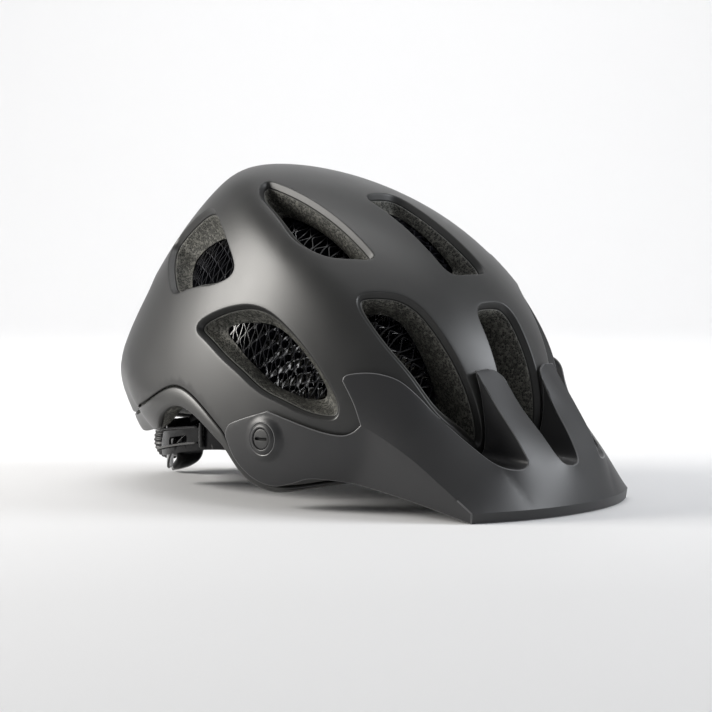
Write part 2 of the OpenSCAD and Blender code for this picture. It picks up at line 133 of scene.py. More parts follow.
# one side's stations: azimuth, then the chart radius of the outer shell's lower edge and of the rim
EDGE_LINE = [(-90, 112, 116), (-50, 115, 117), (-28, 121, 124), (-18, 118, 122), (-8, 108, 113),
             (14, 97, 104), (36, 103, 113), (64, 107, 114), (90, 104, 109)]
GROOVE_LINE = [(a, groove) for a, groove, rim in EDGE_LINE]
RIM_LINE = [(a, rim) for a, groove, rim in EDGE_LINE]
LINER_LINE = [(-90, 92), (-40, 95), (-15, 97), (0, 88), (25, 85), (45, 82), (70, 70), (90, 66)]


def edge_loop(table, n, shrink=0.0):
    """Chart loop at an edge line, counter-clockwise."""
    a = np.radians(np.arange(n) * 360 / n)
    side = np.degrees(np.arctan2(np.sin(a), np.abs(np.cos(a))))
    r = along(side, table) - shrink
    return np.stack([r * np.cos(a), r * np.sin(a)], -1)


# ---------------------------------------------------------------- vents

# chart corners of each vent, and how far the rounding of a corner reaches
VENT_SIDES = {
    "rear_side": ([(59, -10), (63, 4), (59, 35), (42, 43), (25, 48), (30, 19)], 6),
    "upper": ([(32, -2), (22, 3), (30, -53), (43, -41), (45, -28)], 5),
    "side": ([(76, 18), (65, -26), (68, -77), (82, -62), (91, -37), (88, -10)], 9),
    "front": ([(47, -52), (29, -65), (20, -107), (40, -91), (48, -68)], 7),
    "rear": ([(37, 57), (18, 60), (13, 88), (38, 83)], 8),
}
VENT_HALVES = {
    "top": ([(9, -25), (11, -66)], 5),
    "brow": ([(10, -74), (13, -108)], 5),
    "nape": ([(7, 38), (7, 60)], 5),
}
VENT_POINTS = 112


def signed_area(loop):
    x, y = loop[:, 0], loop[:, 1]
    return 0.5 * (x * np.roll(y, -1) - np.roll(x, -1) * y).sum()


def closed_spline(points, n, softness=3):
    """Closed Catmull-Rom curve through points, evenly resampled and lightly smoothed."""
    p = np.asarray(points, float)
    q = []
    for i in range(len(p)):
        a, b, c, d = p[i - 1], p[i], p[(i + 1) % len(p)], p[(i + 2) % len(p)]
        t = np.linspace(0, 1, 24, endpoint=False)[:, None]
        q.append(0.5 * (2 * b + (c - a) * t + (2 * a - 5 * b + 4 * c - d) * t ** 2
                        + (3 * b - a - 3 * c + d) * t ** 3))
    q = np.concatenate(q)
    for _ in range(2):
        step = np.linalg.norm(np.roll(q, -1, 0) - q, axis=1)
        s = np.concatenate([[0], np.cumsum(step)])
        closed = np.vstack([q, q[:1]])
        at = np.arange(n) * s[-1] / n
        q = np.stack([np.interp(at, s, closed[:, k]) for k in range(closed.shape[1])], -1)
        for _ in range(softness):
            q = (np.roll(q, 1, 0) + 2 * q + np.roll(q, -1, 0)) / 4
    return q


def round_corners(corners, reach, n=6):
    """Replaces each corner by a curve that starts at reach from it, or nearer on a short side."""
    out = []
    for i, corner in enumerate(corners):
        b = np.array(corner, float)
        before, after = np.array(corners[i - 1]) - b, np.array(corners[(i + 1) % len(corners)]) - b
        start = b + before * min(0.45, reach / np.linalg.norm(before))
        end = b + after * min(0.45, reach / np.linalg.norm(after))
        for f in np.linspace(0, 1, n):
            out.append(start * (1 - f) ** 2 + 2 * b * f * (1 - f) + end * f * f)
    return np.array(out)


def vent_loops():
    loops = []
    for corners, reach in VENT_SIDES.values():
        for side in (1, -1):
            loops.append(round_corners([(side * u, v) for u, v in corners], reach))
    for half, reach in VENT_HALVES.values():
        loops.append(round_corners(half + [(-u, v) for u, v in reversed(half)], reach))
    loops = [p if signed_area(p) > 0 else p[::-1] for p in loops]
    return [closed_spline(p, VENT_POINTS) for p in loops]


# ---------------------------------------------------------------- mesh helpers


def inside(points, loop):
    """Which points lie inside a closed loop."""
    x, y = points[:, 0, None], points[:, 1, None]
    ax, ay = loop[:, 0], loop[:, 1]
    bx, by = np.roll(ax, -1), np.roll(ay, -1)
    spans = (ay > y) != (by > y)
    cross_x = ax + (y - ay) * (bx - ax) / np.where(by == ay, 1e-12, by - ay)
    return (np.sum(spans & (x < cross_x), 1) % 2) == 1


def near(points, others, distance):
    close = np.zeros(len(points), bool)
    for start in range(0, len(points), 2000):
        block = points[start:start + 2000]
        gap = ((block[:, None] - others[None]) ** 2).sum(-1).min(1)
        close[start:start + 2000] = gap < distance ** 2
    return close


def fill(edge, holes, spacing, rings=()):
    """Triangulates inside edge and outside holes: points, triangles and the index of each loop's points."""
    loops = [edge] + list(holes)
    fixed = np.concatenate(loops + list(rings)) if rings else np.concatenate(loops)
    lo, hi = edge.min(0), edge.max(0)
    rows = np.arange(lo[1], hi[1], spacing * 0.866)
    grid = np.array([(x + spacing * 0.5 * (j % 2), y) for j, y in enumerate(rows)
                     for x in np.arange(lo[0], hi[0] + spacing, spacing)])
    keep = inside(grid, edge)
    for h in holes:
        keep &= ~inside(grid, h)
    grid = grid[keep]
    grid = grid[~near(grid, fixed, spacing * 0.62)]
    points = np.concatenate([fixed, grid])
    edges, start = [], 0
    for loop in loops:
        n = len(loop)
        edges += [(start + i, start + (i + 1) % n) for i in range(n)]
        start += n
    out = delaunay_2d_cdt([Vector(p) for p in points], edges, [], 0, 1e-6)
    verts = np.array([tuple(v) for v in out[0]])
    tris = np.array([f for f in out[2] if len(f) == 3])
    centre = verts[tris].mean(1)
    keep = inside(centre, edge)
    for h in holes:
        keep &= ~inside(centre, h)
    tris = tris[keep]
    where = {}
    for i, origins in enumerate(out[3]):
        for o in origins:
            where[o] = i
    index, start = [], 0
    for loop in loops:
        index.append(np.array([where[start + i] for i in range(len(loop))]))
        start += len(loop)
    flip = np.cross(verts[tris[:, 1]] - verts[tris[:, 0]], verts[tris[:, 2]] - verts[tris[:, 0]]) < 0
    tris[flip] = tris[flip][:, ::-1]
    return verts, tris, index


class Builder:
    """Gathers the vertices and faces of one mesh."""

    def __init__(self):
        self.verts, self.faces, self.slots = [], [], []
        self.count = 0

    def add(self, points):
        points = np.asarray(points, float).reshape(-1, 3)
        self.verts.append(points)
        self.count += len(points)
        return np.arange(self.count - len(points), self.count)

    def face(self, faces, slot=0):
        for f in faces:
            self.faces.append([int(i) for i in f])
            self.slots.append(slot)

    def bridge(self, a, b, closed=True, slot=0, flip=False):
        n = len(a) if closed else len(a) - 1
        for i in range(n):
            j = (i + 1) % len(a)
            f = [a[i], a[j], b[j], b[i]]
            self.face([f[::-1] if flip else f], slot)

    def grid(self, points, closed=False, slot=0, flip=False):
        """Adds a grid of points with quads between its rows; closed joins each row's ends."""
        ids = [self.add(row) for row in points]
        for a, b in zip(ids, ids[1:]):
            self.bridge(a, b, closed, slot, flip)
        return ids

    def build(self, name, materials, smooth_angle=None, sharp=()):
        """sharp holds polylines, in the bowl frame, whose edges stay crisp."""
        verts = (np.concatenate(self.verts) + FRAME_SHIFT) * MM
        mesh = bpy.data.meshes.new(name)
        mesh.from_pydata(verts.tolist(), [], self.faces)
        for m in materials:
            mesh.materials.append(m)
        mesh.polygons.foreach_set("material_index", self.slots)
        mesh.polygons.foreach_set("use_smooth", [True] * len(self.faces))
        obj = bpy.data.objects.new(name, mesh)
        bpy.context.scene.collection.objects.link(obj)
        bm = bmesh.new()
        bm.from_mesh(mesh)
        bmesh.ops.remove_doubles(bm, verts=bm.verts, dist=1e-6)
        bmesh.ops.dissolve_degenerate(bm, edges=bm.edges, dist=1e-7)
        bmesh.ops.recalc_face_normals(bm, faces=bm.faces)
        if smooth_angle:
            for e in bm.edges:
                if len(e.link_faces) == 2 and e.calc_face_angle(0) > math.radians(smooth_angle):
                    e.smooth = False
        if len(sharp):
            lines = {tuple(np.round((p + FRAME_SHIFT) * MM * 2e4).astype(int)) for line in sharp
                     for p in line}
            crisp = [tuple(np.round(np.array(v.co) * 2e4).astype(int)) in lines for v in bm.verts]
            for e in bm.edges:
                if crisp[e.verts[0].index] and crisp[e.verts[1].index]:
                    e.smooth = False
        bm.to_mesh(mesh)
        bm.free()
        return obj


def modifier(obj, kind, **settings):
    m = obj.modifiers.new(kind.title(), kind)
    for k, v in settings.items():
        setattr(m, k, v)
    return m


def apply_modifiers(obj):
    depsgraph = bpy.context.evaluated_depsgraph_get()
    mesh = bpy.data.meshes.new_from_object(obj.evaluated_get(depsgraph), depsgraph=depsgraph)
    obj.modifiers.clear()
    old = obj.data
    obj.data = mesh
    bpy.data.meshes.remove(old)
    return obj


def finish_piece(obj, body, slot, *nodes):
    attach(obj, body)
    if nodes:
        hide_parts(*nodes)
    return obj


def slab(b, top, bottom, slot=0):
    """A closed solid between two open grids of the same size."""
    t, u = b.grid(top, slot=slot), b.grid(bottom, slot=slot, flip=True)
    b.bridge(t[0], u[0], False, slot)
    b.bridge(t[-1], u[-1], False, slot)
    first_t, first_u = [r[0] for r in t], [r[0] for r in u]
    last_t, last_u = [r[-1] for r in t], [r[-1] for r in u]
    b.bridge(first_t, first_u, False, slot)
    b.bridge(last_t, last_u, False, slot)


def rounded(obj, width=0.5, segments=3, angle=35):
    modifier(obj, "BEVEL", width=width * MM, segments=segments, limit_method="ANGLE",
             angle_limit=math.radians(angle), harden_normals=False)
    modifier(obj, "WEIGHTED_NORMAL", keep_sharp=True, weight=60)
    return obj


# ---------------------------------------------------------------- materials


def material(name, base, rough, spec=0.5, metal=0.0, coat=0.0, sheen=0.0):
    m = bpy.data.materials.new(name)
    m.use_nodes = True
    nodes = m.node_tree.nodes
    shader = nodes["Principled BSDF"]
    shader.inputs["Base Color"].default_value = (*base, 1)
    shader.inputs["Roughness"].default_value = rough
    shader.inputs["Specular IOR Level"].default_value = spec
    shader.inputs["Metallic"].default_value = metal
    shader.inputs["Coat Weight"].default_value = coat
    shader.inputs["Coat Roughness"].default_value = 0.15
    shader.inputs["Sheen Weight"].default_value = sheen
    m.diffuse_color = (*base, 1)
    return m


class Graph:
    """Short names for wiring a material's nodes."""

    def __init__(self, m):
        self.tree = m.node_tree
        self.shader = m.node_tree.nodes["Principled BSDF"]
        self.coords = self.node("ShaderNodeTexCoord").outputs["Object"]

    def node(self, kind, **inputs):
        n = self.tree.nodes.new(kind)
        for k, v in inputs.items():
            if isinstance(v, bpy.types.NodeSocket):
                self.tree.links.new(v, n.inputs[k])
            else:
                n.inputs[k].default_value = v
        return n

    def noise(self, size_mm, detail=3.0, vector=None, rough=0.5):
        n = self.node("ShaderNodeTexNoise", Vector=vector or self.coords, Scale=1000.0 / size_mm,
                      Detail=detail, Roughness=rough)
        return n.outputs["Fac"]

    def cells(self, size_mm, feature="F1", vector=None):
        n = self.node("ShaderNodeTexVoronoi", Vector=vector or self.coords, Scale=1000.0 / size_mm)
        n.feature = feature
        return n

    def ramp(self, fac, stops):
        n = self.node("ShaderNodeValToRGB", Fac=fac)
        ramp = n.color_ramp
        while len(ramp.elements) < len(stops):
            ramp.elements.new(0.5)
        for e, (at, color) in zip(ramp.elements, stops):
            e.position = at
            e.color = (*color, 1) if len(color) == 3 else color
        return n.outputs["Color"]

    def span(self, fac, low, high, out_low, out_high):
        n = self.node("ShaderNodeMapRange")
        self.tree.links.new(fac, n.inputs["Value"])
        for k, v in (("From Min", low), ("From Max", high), ("To Min", out_low), ("To Max", out_high)):
            n.inputs[k].default_value = v
        return n.outputs["Result"]

    def math(self, kind, a, b=0.0):
        n = self.tree.nodes.new("ShaderNodeMath")
        n.operation = kind
        for i, v in enumerate((a, b)):
            if isinstance(v, bpy.types.NodeSocket):
                self.tree.links.new(v, n.inputs[i])
            else:
                n.inputs[i].default_value = v
        return n.outputs["Value"]

    def mix(self, factor, a, b):
        n = self.tree.nodes.new("ShaderNodeMix")
        n.data_type = "RGBA"
        self.tree.links.new(factor, n.inputs["Factor"])
        self.tree.links.new(a, n.inputs[6])
        n.inputs[7].default_value = (*b, 1)
        return n.outputs[2]

    def color(self, socket):
        self.tree.links.new(socket, self.shader.inputs["Base Color"])

    def rough(self, socket):
        self.tree.links.new(socket, self.shader.inputs["Roughness"])

    def bump(self, height, depth_mm, strength=1.0, after=None):
        n = self.tree.nodes.new("ShaderNodeBump")
        n.inputs["Strength"].default_value = strength
        n.inputs["Distance"].default_value = depth_mm * MM
        self.tree.links.new(height, n.inputs["Height"])
        if after:
            self.tree.links.new(after.outputs["Normal"], n.inputs["Normal"])
        self.tree.links.new(n.outputs["Normal"], self.shader.inputs["Normal"])
        return n


def moulded(name, base, rough, grain_mm=0.35, grain_depth=0.012, spec=0.5, coat=0.0):
    """Satin moulded plastic: a fine grain, slow unevenness and a little variation of tone."""
    m = material(name, base, rough, spec, coat=coat)
    g = Graph(m)
    drift = g.noise(28, 2)
    low = [c * 0.93 for c in base]
    high = [c * 1.07 for c in base]
    g.color(g.ramp(drift, [(0.3, low), (0.7, high)]))
    fine = g.noise(grain_mm, 2)
    g.rough(g.span(g.math("ADD", g.math("MULTIPLY", drift, 0.5), g.math("MULTIPLY", fine, 0.5)), 0.3, 0.7,
                   rough - 0.035, rough + 0.035))
    g.bump(fine, grain_depth, 0.6)
    return m


def bead_foam(name, dark, pale, bead_mm=1.25):
    """Moulded bead foam: rounded beads of mixed tone with paler joints."""
    m = material(name, dark, 0.62, 0.35)
    g = Graph(m)
    bead = g.cells(bead_mm)
    joint = g.cells(bead_mm, "DISTANCE_TO_EDGE")
    tone = g.node("ShaderNodeSeparateColor", Color=bead.outputs["Color"]).outputs["Red"]
    body = g.ramp(tone, [(0.0, [c * 0.45 for c in dark]), (0.55, dark),
                         (1.0, [(a + b) / 2 for a, b in zip(dark, pale)])])
    seam = g.span(joint.outputs["Distance"], 0.0, 0.09, 1.0, 0.0)
    g.color(g.mix(g.math("MULTIPLY", seam, g.noise(4, 1)), body, pale))
    dome = g.span(joint.outputs["Distance"], 0.0, 0.35, 0.0, 1.0)
    first = g.bump(dome, 0.28, 0.8)
    g.bump(g.noise(0.5, 2), 0.03, 0.5, first)
    return m


def gloss(name, base, rough=0.14, spec=0.6):
    """Polished moulded plastic with faint flow marks."""
    m = material(name, base, rough, spec)
    g = Graph(m)
    flow = g.noise(9, 3)
    g.rough(g.span(flow, 0.3, 0.7, rough * 0.7, rough * 1.5))
    g.bump(flow, 0.03, 0.4)
    return m


def knit(name, base, pitch_mm=0.9):
    """Brushed knit fabric: crossed ribs with a fuzzy sheen."""
    m = material(name, base, 0.85, 0.2, sheen=0.35)
    g = Graph(m)
    waves = []
    for direction in ("X", "Y", "Z"):
        n = g.node("ShaderNodeTexWave", Vector=g.coords, Scale=1000 / pitch_mm / 20 * 2 * math.pi,
                   Distortion=0.6)
        n.bands_direction = direction
        waves.append(n.outputs["Fac"])
    weave = g.math("MULTIPLY", g.math("MULTIPLY", waves[0], waves[1]), waves[2])
    fuzz = g.noise(0.6, 3)
    g.color(g.ramp(g.noise(6, 3), [(0.3, [c * 0.75 for c in base]), (0.7, [c * 1.35 for c in base])]))
    g.bump(g.math("ADD", weave, g.math("MULTIPLY", fuzz, 0.6)), 0.16, 0.7)
    return m


def webbing_cloth(name, base):
    """Woven strap: diagonal twill across the strap, from its own UVs."""
    m = material(name, base, 0.7, 0.3, sheen=0.2)
    g = Graph(m)
    uv = g.node("ShaderNodeUVMap").outputs["UV"]
    ribs = g.node("ShaderNodeTexWave", Vector=uv, Scale=0.42, Distortion=0.0)
    ribs.bands_direction = "DIAGONAL"
    cross = g.node("ShaderNodeTexWave", Vector=uv, Scale=0.85, Distortion=0.3)
    cross.bands_direction = "X"
    h = g.math("ADD", g.math("MULTIPLY", ribs.outputs["Fac"], 0.6),
               g.math("MULTIPLY", cross.outputs["Fac"], 0.4))
    g.color(g.ramp(h, [(0.2, [c * 0.6 for c in base]), (0.8, [c * 1.6 for c in base])]))
    g.bump(h, 0.18, 0.9)
    return m


def metal(name, base, rough=0.3):
    m = material(name, base, rough, 0.5, metal=1.0)
    g = Graph(m)
    g.rough(g.span(g.noise(1.2, 3), 0.3, 0.7, rough - 0.08, rough + 0.12))
    g.bump(g.noise(0.4, 2), 0.01, 0.5)
    return m


M_SHELL = moulded("shell_satin", (0.021, 0.021, 0.0205), 0.39)
# painted shade: a darker tone for the shell's lip where it turns into the vents
M_LIP_SHADE = moulded("shell_lip_painted_shade", (0.016, 0.016, 0.0155), 0.46)
M_LOWER = moulded("lower_shell_satin", (0.026, 0.026, 0.025), 0.36)
M_VISOR = moulded("visor_satin", (0.0215, 0.0215, 0.0225), 0.42, grain_mm=0.45, grain_depth=0.02)
# painted highlight: a much lighter tone for the visor's bevelled edges
M_EDGE_HIGHLIGHT = moulded("visor_edge_painted_highlight", (0.11, 0.11, 0.112), 0.34)
# painted shade: a near-black tone for the recess of the screw's slot
M_SLOT_SHADE = moulded("screw_slot_painted_shade", (0.003, 0.003, 0.003), 0.8)
M_SCREW = moulded("screw_nylon", (0.024, 0.024, 0.024), 0.46, grain_mm=0.3)
M_FOAM = bead_foam("bead_foam", (0.034, 0.034, 0.030), (0.26, 0.255, 0.225))
# painted highlight: a lighter tone for the foam's edge just beyond the shell lip
M_FOAM_EDGE_HIGHLIGHT = moulded("foam_edge_painted_highlight", (0.075, 0.075, 0.068), 0.45)
M_CELL = gloss("cell_gloss", (0.010, 0.010, 0.013), 0.16)
M_PAD = knit("pad_knit", (0.02, 0.02, 0.022))
M_PIPE = knit("pad_binding", (0.012, 0.012, 0.013), 0.6)
M_YOKE = gloss("yoke_gloss", (0.003, 0.003, 0.0034), 0.1, 0.12)
M_ARM = gloss("arm_gloss", (0.004, 0.004, 0.0045), 0.2, 0.12)
M_DIAL = moulded("dial_nylon", (0.006, 0.006, 0.0065), 0.42, grain_mm=0.5, grain_depth=0.03)
M_LACE = knit("lace_braid", (0.05, 0.05, 0.05), 0.5)
M_PIN = moulded("pin_nylon", (0.012, 0.012, 0.012), 0.4)
M_BRASS = metal("turned_brass", (0.62, 0.44, 0.18), 0.28)
M_WEB = webbing_cloth("webbing", (0.014, 0.014, 0.015))
M_BUCKLE = moulded("buckle_acetal", (0.016, 0.016, 0.017), 0.48)


# ---------------------------------------------------------------- bowl


def frame_at(loop, skin):
    """Surface points, outward normals and directions into a loop, for a counter-clockwise chart loop."""
    h = 0.01
    p = skin(loop)
    du = (skin(loop + [h, 0]) - skin(loop - [h, 0])) / (2 * h)
    dv = (skin(loop + [0, h]) - skin(loop - [0, h])) / (2 * h)
    n = np.cross(du, dv)
    n /= np.linalg.norm(n, axis=1)[:, None]
    t = np.roll(p, -1, 0) - np.roll(p, 1, 0)
    t /= np.linalg.norm(t, axis=1)[:, None]
    into = np.cross(n, t)
    into /= np.linalg.norm(into, axis=1)[:, None]
    return p, n, into, du, dv


def chart_offset(loop, distance):
    """The loop moved out of its hole by a distance in millimetres along the outer skin."""
    _, _, into, du, dv = frame_at(loop, outer)
    move = -into * distance
    a, b, c = (du * du).sum(1), (du * dv).sum(1), (dv * dv).sum(1)
    x, y = (du * move).sum(1), (dv * move).sum(1)
    det = a * c - b * b
    return loop + np.stack([(c * x - b * y) / det, (a * y - b * x) / det], -1)


def soften(ring, times=2):
    for _ in range(times):
        ring = (np.roll(ring, 1, 0) + 2 * ring + np.roll(ring, -1, 0)) / 4
    return ring


LIP_ROLL = 0.9          # radius of the roll at a vent's edge
LIP_ANGLE = 62          # how steeply the lip turns into the vent, in degrees
LIP_WIDTH = 4.0         # length of the lip beyond the roll
SHELL_T = 1.1
LOOPS = vent_loops()
LIP_SPOT = (LIP_ROLL * math.sin(math.radians(LIP_ANGLE)) + LIP_WIDTH * math.cos(math.radians(LIP_ANGLE)),
            LIP_ROLL * (1 - math.cos(math.radians(LIP_ANGLE)))
            + LIP_WIDTH * math.sin(math.radians(LIP_ANGLE)))


def lip_profile():
    """(distance into the vent, depth) from the skin down the lip."""
    rows = [(LIP_ROLL * math.sin(math.radians(a)), LIP_ROLL * (1 - math.cos(math.radians(a))))
            for a in np.linspace(0, LIP_ANGLE, 6)[1:]]
    a, b = rows[-1], LIP_SPOT
    return rows + [(a[0] + (b[0] - a[0]) * f, a[1] + (b[1] - a[1]) * f) for f in (0.25, 0.5, 0.75, 1)]


def build_outer_shell():
    edge = edge_loop(GROOVE_LINE, 360)
    rings = [chart_offset(loop, d) for loop in LOOPS for d in (1.6, 3.6)]
    uv, tris, index = fill(edge, LOOPS, 2.1, rings)
    b = Builder()
    ids = b.add(outer(uv))
    b.face(ids[tris])
    for loop, ring in zip(LOOPS, index[1:]):
        p, n, into, _, _ = frame_at(loop, outer)
        last = ids[ring]
        for k, (w, d) in enumerate(lip_profile()):
            row = b.add(soften(p + into * w - n * d, 1 if k > 3 else 0))
            # the lip's inner rows take the darker lip material, painted shade inside the vent
            b.bridge(last, row, slot=1 if k > 3 else 0)
            last = row
    p, n, into, _, _ = frame_at(edge, outer)
    last = ids[index[0]]
    for w, d in ((-0.45, 0.12), (-0.8, 0.5), (-0.9, 1.2)):
        row = b.add(p + into * w - n * d)
        b.bridge(last, row)
        last = row
    obj = b.build("outer_shell_skin", [M_SHELL, M_LIP_SHADE])
    modifier(obj, "SOLIDIFY", thickness=SHELL_T * MM, offset=-1, use_even_offset=False)
    return finish_piece(obj, "root", "shell", "outer_shell")


def build_lower_shell():
    n = 360
    top = edge_loop(GROOVE_LINE, n, -1.1)
    low = edge_loop(RIM_LINE, n)
    width = 2.0 * np.linalg.norm(low - top, axis=1)
    b = Builder()

    def row(from_top, from_low, off):
        f = from_top / width if from_low is None else 1 - from_low / width
        f = np.clip(f, 0.02, 0.98)[:, None]
        return outer(top * (1 - f) + low * f, off)

    rows = [outer(top, -2.4), outer(top, -1.2), row(0.15, None, -0.6), row(0.5, None, -0.25),
            row(1.0, None, -0.1)]
    for f in (0.3, 0.5, 0.7):
        rows.append(outer(top * (1 - f) + low * f, -0.08 + 0.25 * math.sin(f * math.pi)))
    rows += [row(0, 1.0, -0.1), row(0, 0.5, -0.35), row(0, 0.12, -0.85), outer(low, -1.8), outer(low, -3.0)]
    for shrink, off in ((0.6, -4.2), (1.5, -4.2)):
        rows.append(outer(edge_loop(RIM_LINE, n, shrink), off))
    rows += [outer(edge_loop(RIM_LINE, n, 1.5), -2.9), outer(top * 0.5 + low * 0.5, -2.4)]
    ids = b.grid(rows, closed=True)
    b.bridge(ids[-1], ids[0])
    obj = b.build("lower_shell_band", [M_LOWER])
    return finish_piece(obj, "root", "lower_shell", "lower_shell")


RECESS = 9.5
INNER_NARROW = 0.78
MOUTH_SHIFT = 5.5


def recess(polar_share):
    return 6 + (RECESS - 6) * (1 - ease(0.82, 0.9, polar_share))


def inner_ring(loop):
    """The vent's mouth on the head side: smaller, and drawn forwards on the long side vents."""
    c = (loop.max(0) + loop.min(0)) / 2
    forward = MOUTH_SHIFT if abs(c[0]) > 70 else 0
    return c + (loop - c) * INNER_NARROW - [0, forward]


def build_foam():
    """One closed body: skin under the shell, vent walls, head side and rim."""
    b = Builder()
    edge = edge_loop(RIM_LINE, 360, 1.6)
    seats = [chart_offset(loop, 1.8) for loop in LOOPS]
    uv, tris, index = fill(edge, seats, 3.0)
    top = b.add(outer(uv, -2.6))
    b.face(top[tris])
    mouths = [inner_ring(loop) for loop in LOOPS]
    guard = [c + (m - c) * 1.06 for m, c in ((m, (m.max(0) + m.min(0)) / 2) for m in mouths)]
    uv2, tris2, index2 = fill(edge, mouths, 2.6, guard)
    share = np.linalg.norm(uv2, axis=1) / along(np.degrees(np.arctan2(uv2[:, 1], np.abs(uv2[:, 0]))),
                                                RIM_LINE)
    low = b.add(inner(uv2, recess(share)))
    b.face(low[tris2][:, ::-1])
    w0, d0 = LIP_SPOT
    for loop, ring, ring2, mouth in zip(LOOPS, index[1:], index2[1:], mouths):
        p, n, into, _, _ = frame_at(loop, outer)
        rows = [(w0 - 1.35, d0 - 1.3), (w0 - 0.5, d0 - 0.55), (w0 + 0.05, d0 + 0.05), (w0 + 0.3, d0 + 0.15)]
        last = top[ring]
        for k, (w, d) in enumerate(rows):
            row = b.add(soften(p + into * w - n * d, 1))
            # rows past the shell lip take the lighter foam edge material, a painted highlight on the edge
            b.bridge(last, row, slot=1 if k >= 2 else 0)
            last = row
        start = soften(p + into * rows[-1][0] - n * rows[-1][1], 1)
        end = inner(mouth, RECESS)
        steep = start + (into * 0.25 - n) * 7
        for t in (0.08, 0.2, 0.36, 0.54, 0.72, 0.87, 0.96):
            a = start * (1 - t) ** 2 + steep * 2 * t * (1 - t) + end * t * t
            row = b.add(soften(a, 2))
            b.bridge(last, row)
            last = row
        b.bridge(last, low[ring2])
    last = top[index[0]]
    for t, bulge in ((0.08, 0.9), (0.25, 1.6), (0.5, 1.9), (0.75, 1.6), (0.92, 0.9)):
        ring = edge_loop(RIM_LINE, 360, 1.6 - bulge)
        row = b.add(outer(ring, -2.6) * (1 - t) + inner(ring, recess(1.0)) * t)
        b.bridge(last, row)
        last = row
    b.bridge(last, low[index2[0]])
    obj = b.build("foam_bowl", [M_FOAM, M_FOAM_EDGE_HIGHLIGHT])
    return finish_piece(obj, "root", "foam", "foam_liner")


CELL_PITCH = 4.2        # chart degrees between folded walls
CELL_WAVE = 7.4         # chart degrees between folds along a wall
CELL_FOLD = 2.0         # half height of a fold
CELL_T = 0.42           # half thickness of a wall, in chart degrees


def build_cell_liner():
    """Folded walls across the crown, straight ones between them, from the head side up to the foam."""
    b = Builder()
    depths = np.linspace(0, 1, 5)
    for k in range(-24, 18):
        v0 = k * CELL_PITCH - 0.5
        reach = 100.0
        u = np.arange(-reach, reach, CELL_WAVE / 10)
        for folded in (True, False):
            v = v0 + (0 if folded else CELL_PITCH / 2)
            az = np.degrees(np.arctan2(v, np.abs(u)))
            ok = np.hypot(u, v) < along(az, LINER_LINE) + 5
            if ok.sum() < 20:
                continue
            uu = u[ok]
            phase = uu / CELL_WAVE * 2 * np.pi + (k % 2) * np.pi
            wave = (2 / np.pi) * np.arcsin(np.sin(phase) * 0.94)
            grids = {s: [] for s in (1, -1)}
            for t in depths:
                swing = math.cos(t * math.pi)
                for s in (1, -1):
                    vv = v + (CELL_FOLD * wave * swing if folded else 0.55 * np.sin(phase * 0.5) * swing)
                    thick = (CELL_T if folded else CELL_T * 0.8) * (0.8 if t in (0, 1) else 1) * 0.55
                    grids[s].append(inner(np.stack([uu, vv + s * thick], -1), 1.1 + 8.1 * t))
            slab(b, grids[1], grids[-1])
    obj = b.build("cell_liner_walls", [M_CELL], 50)
    return finish_piece(obj, "root", "cell_liner", "cell_liner")


build_outer_shell()
build_lower_shell()
build_foam()
build_cell_liner()


# ---------------------------------------------------------------- visor


def open_spline(points, n):
    """Catmull-Rom curve through points, evenly resampled to n + 1 points."""
    p = np.asarray(points, float)
    p = np.vstack([2 * p[0] - p[1], p, 2 * p[-1] - p[-2]])
    q = []
    for i in range(1, len(p) - 2):
        a, c0, c1, d = p[i - 1], p[i], p[i + 1], p[i + 2]
        t = np.linspace(0, 1, 20, endpoint=False)[:, None]
        q.append(0.5 * (2 * c0 + (c1 - a) * t + (2 * a - 5 * c0 + 4 * c1 - d) * t ** 2
                        + (3 * c0 - a - 3 * c1 + d) * t ** 3))
    q = np.concatenate(q + [p[-2][None]])
    s = np.concatenate([[0], np.cumsum(np.linalg.norm(np.diff(q, axis=0), axis=1))])
    at = np.linspace(0, s[-1], n + 1)
    return np.stack([np.interp(at, s, q[:, k]) for k in range(q.shape[1])], -1)


def lip_y(x):
    return -195.5 + 20.5 * (np.abs(x) / 76) ** 2.2


def skin_x(y, z, off):
    """Half width of the outer skin at a length and a height."""
    lo, hi = np.full(np.shape(y), 20.0), np.full(np.shape(y), 140.0)
    for _ in range(28):
        x = (lo + hi) / 2
        p = np.stack([x, y, z], -1) - CORE
        r = np.linalg.norm(p, axis=-1)
        short = r < outer_radius(p / r[..., None]) + off
        lo, hi = np.where(short, x, lo), np.where(short, hi, x)
    return (lo + hi) / 2


VISOR_GAP = 4.2         # from the outer skin to the visor's outer face over the arms

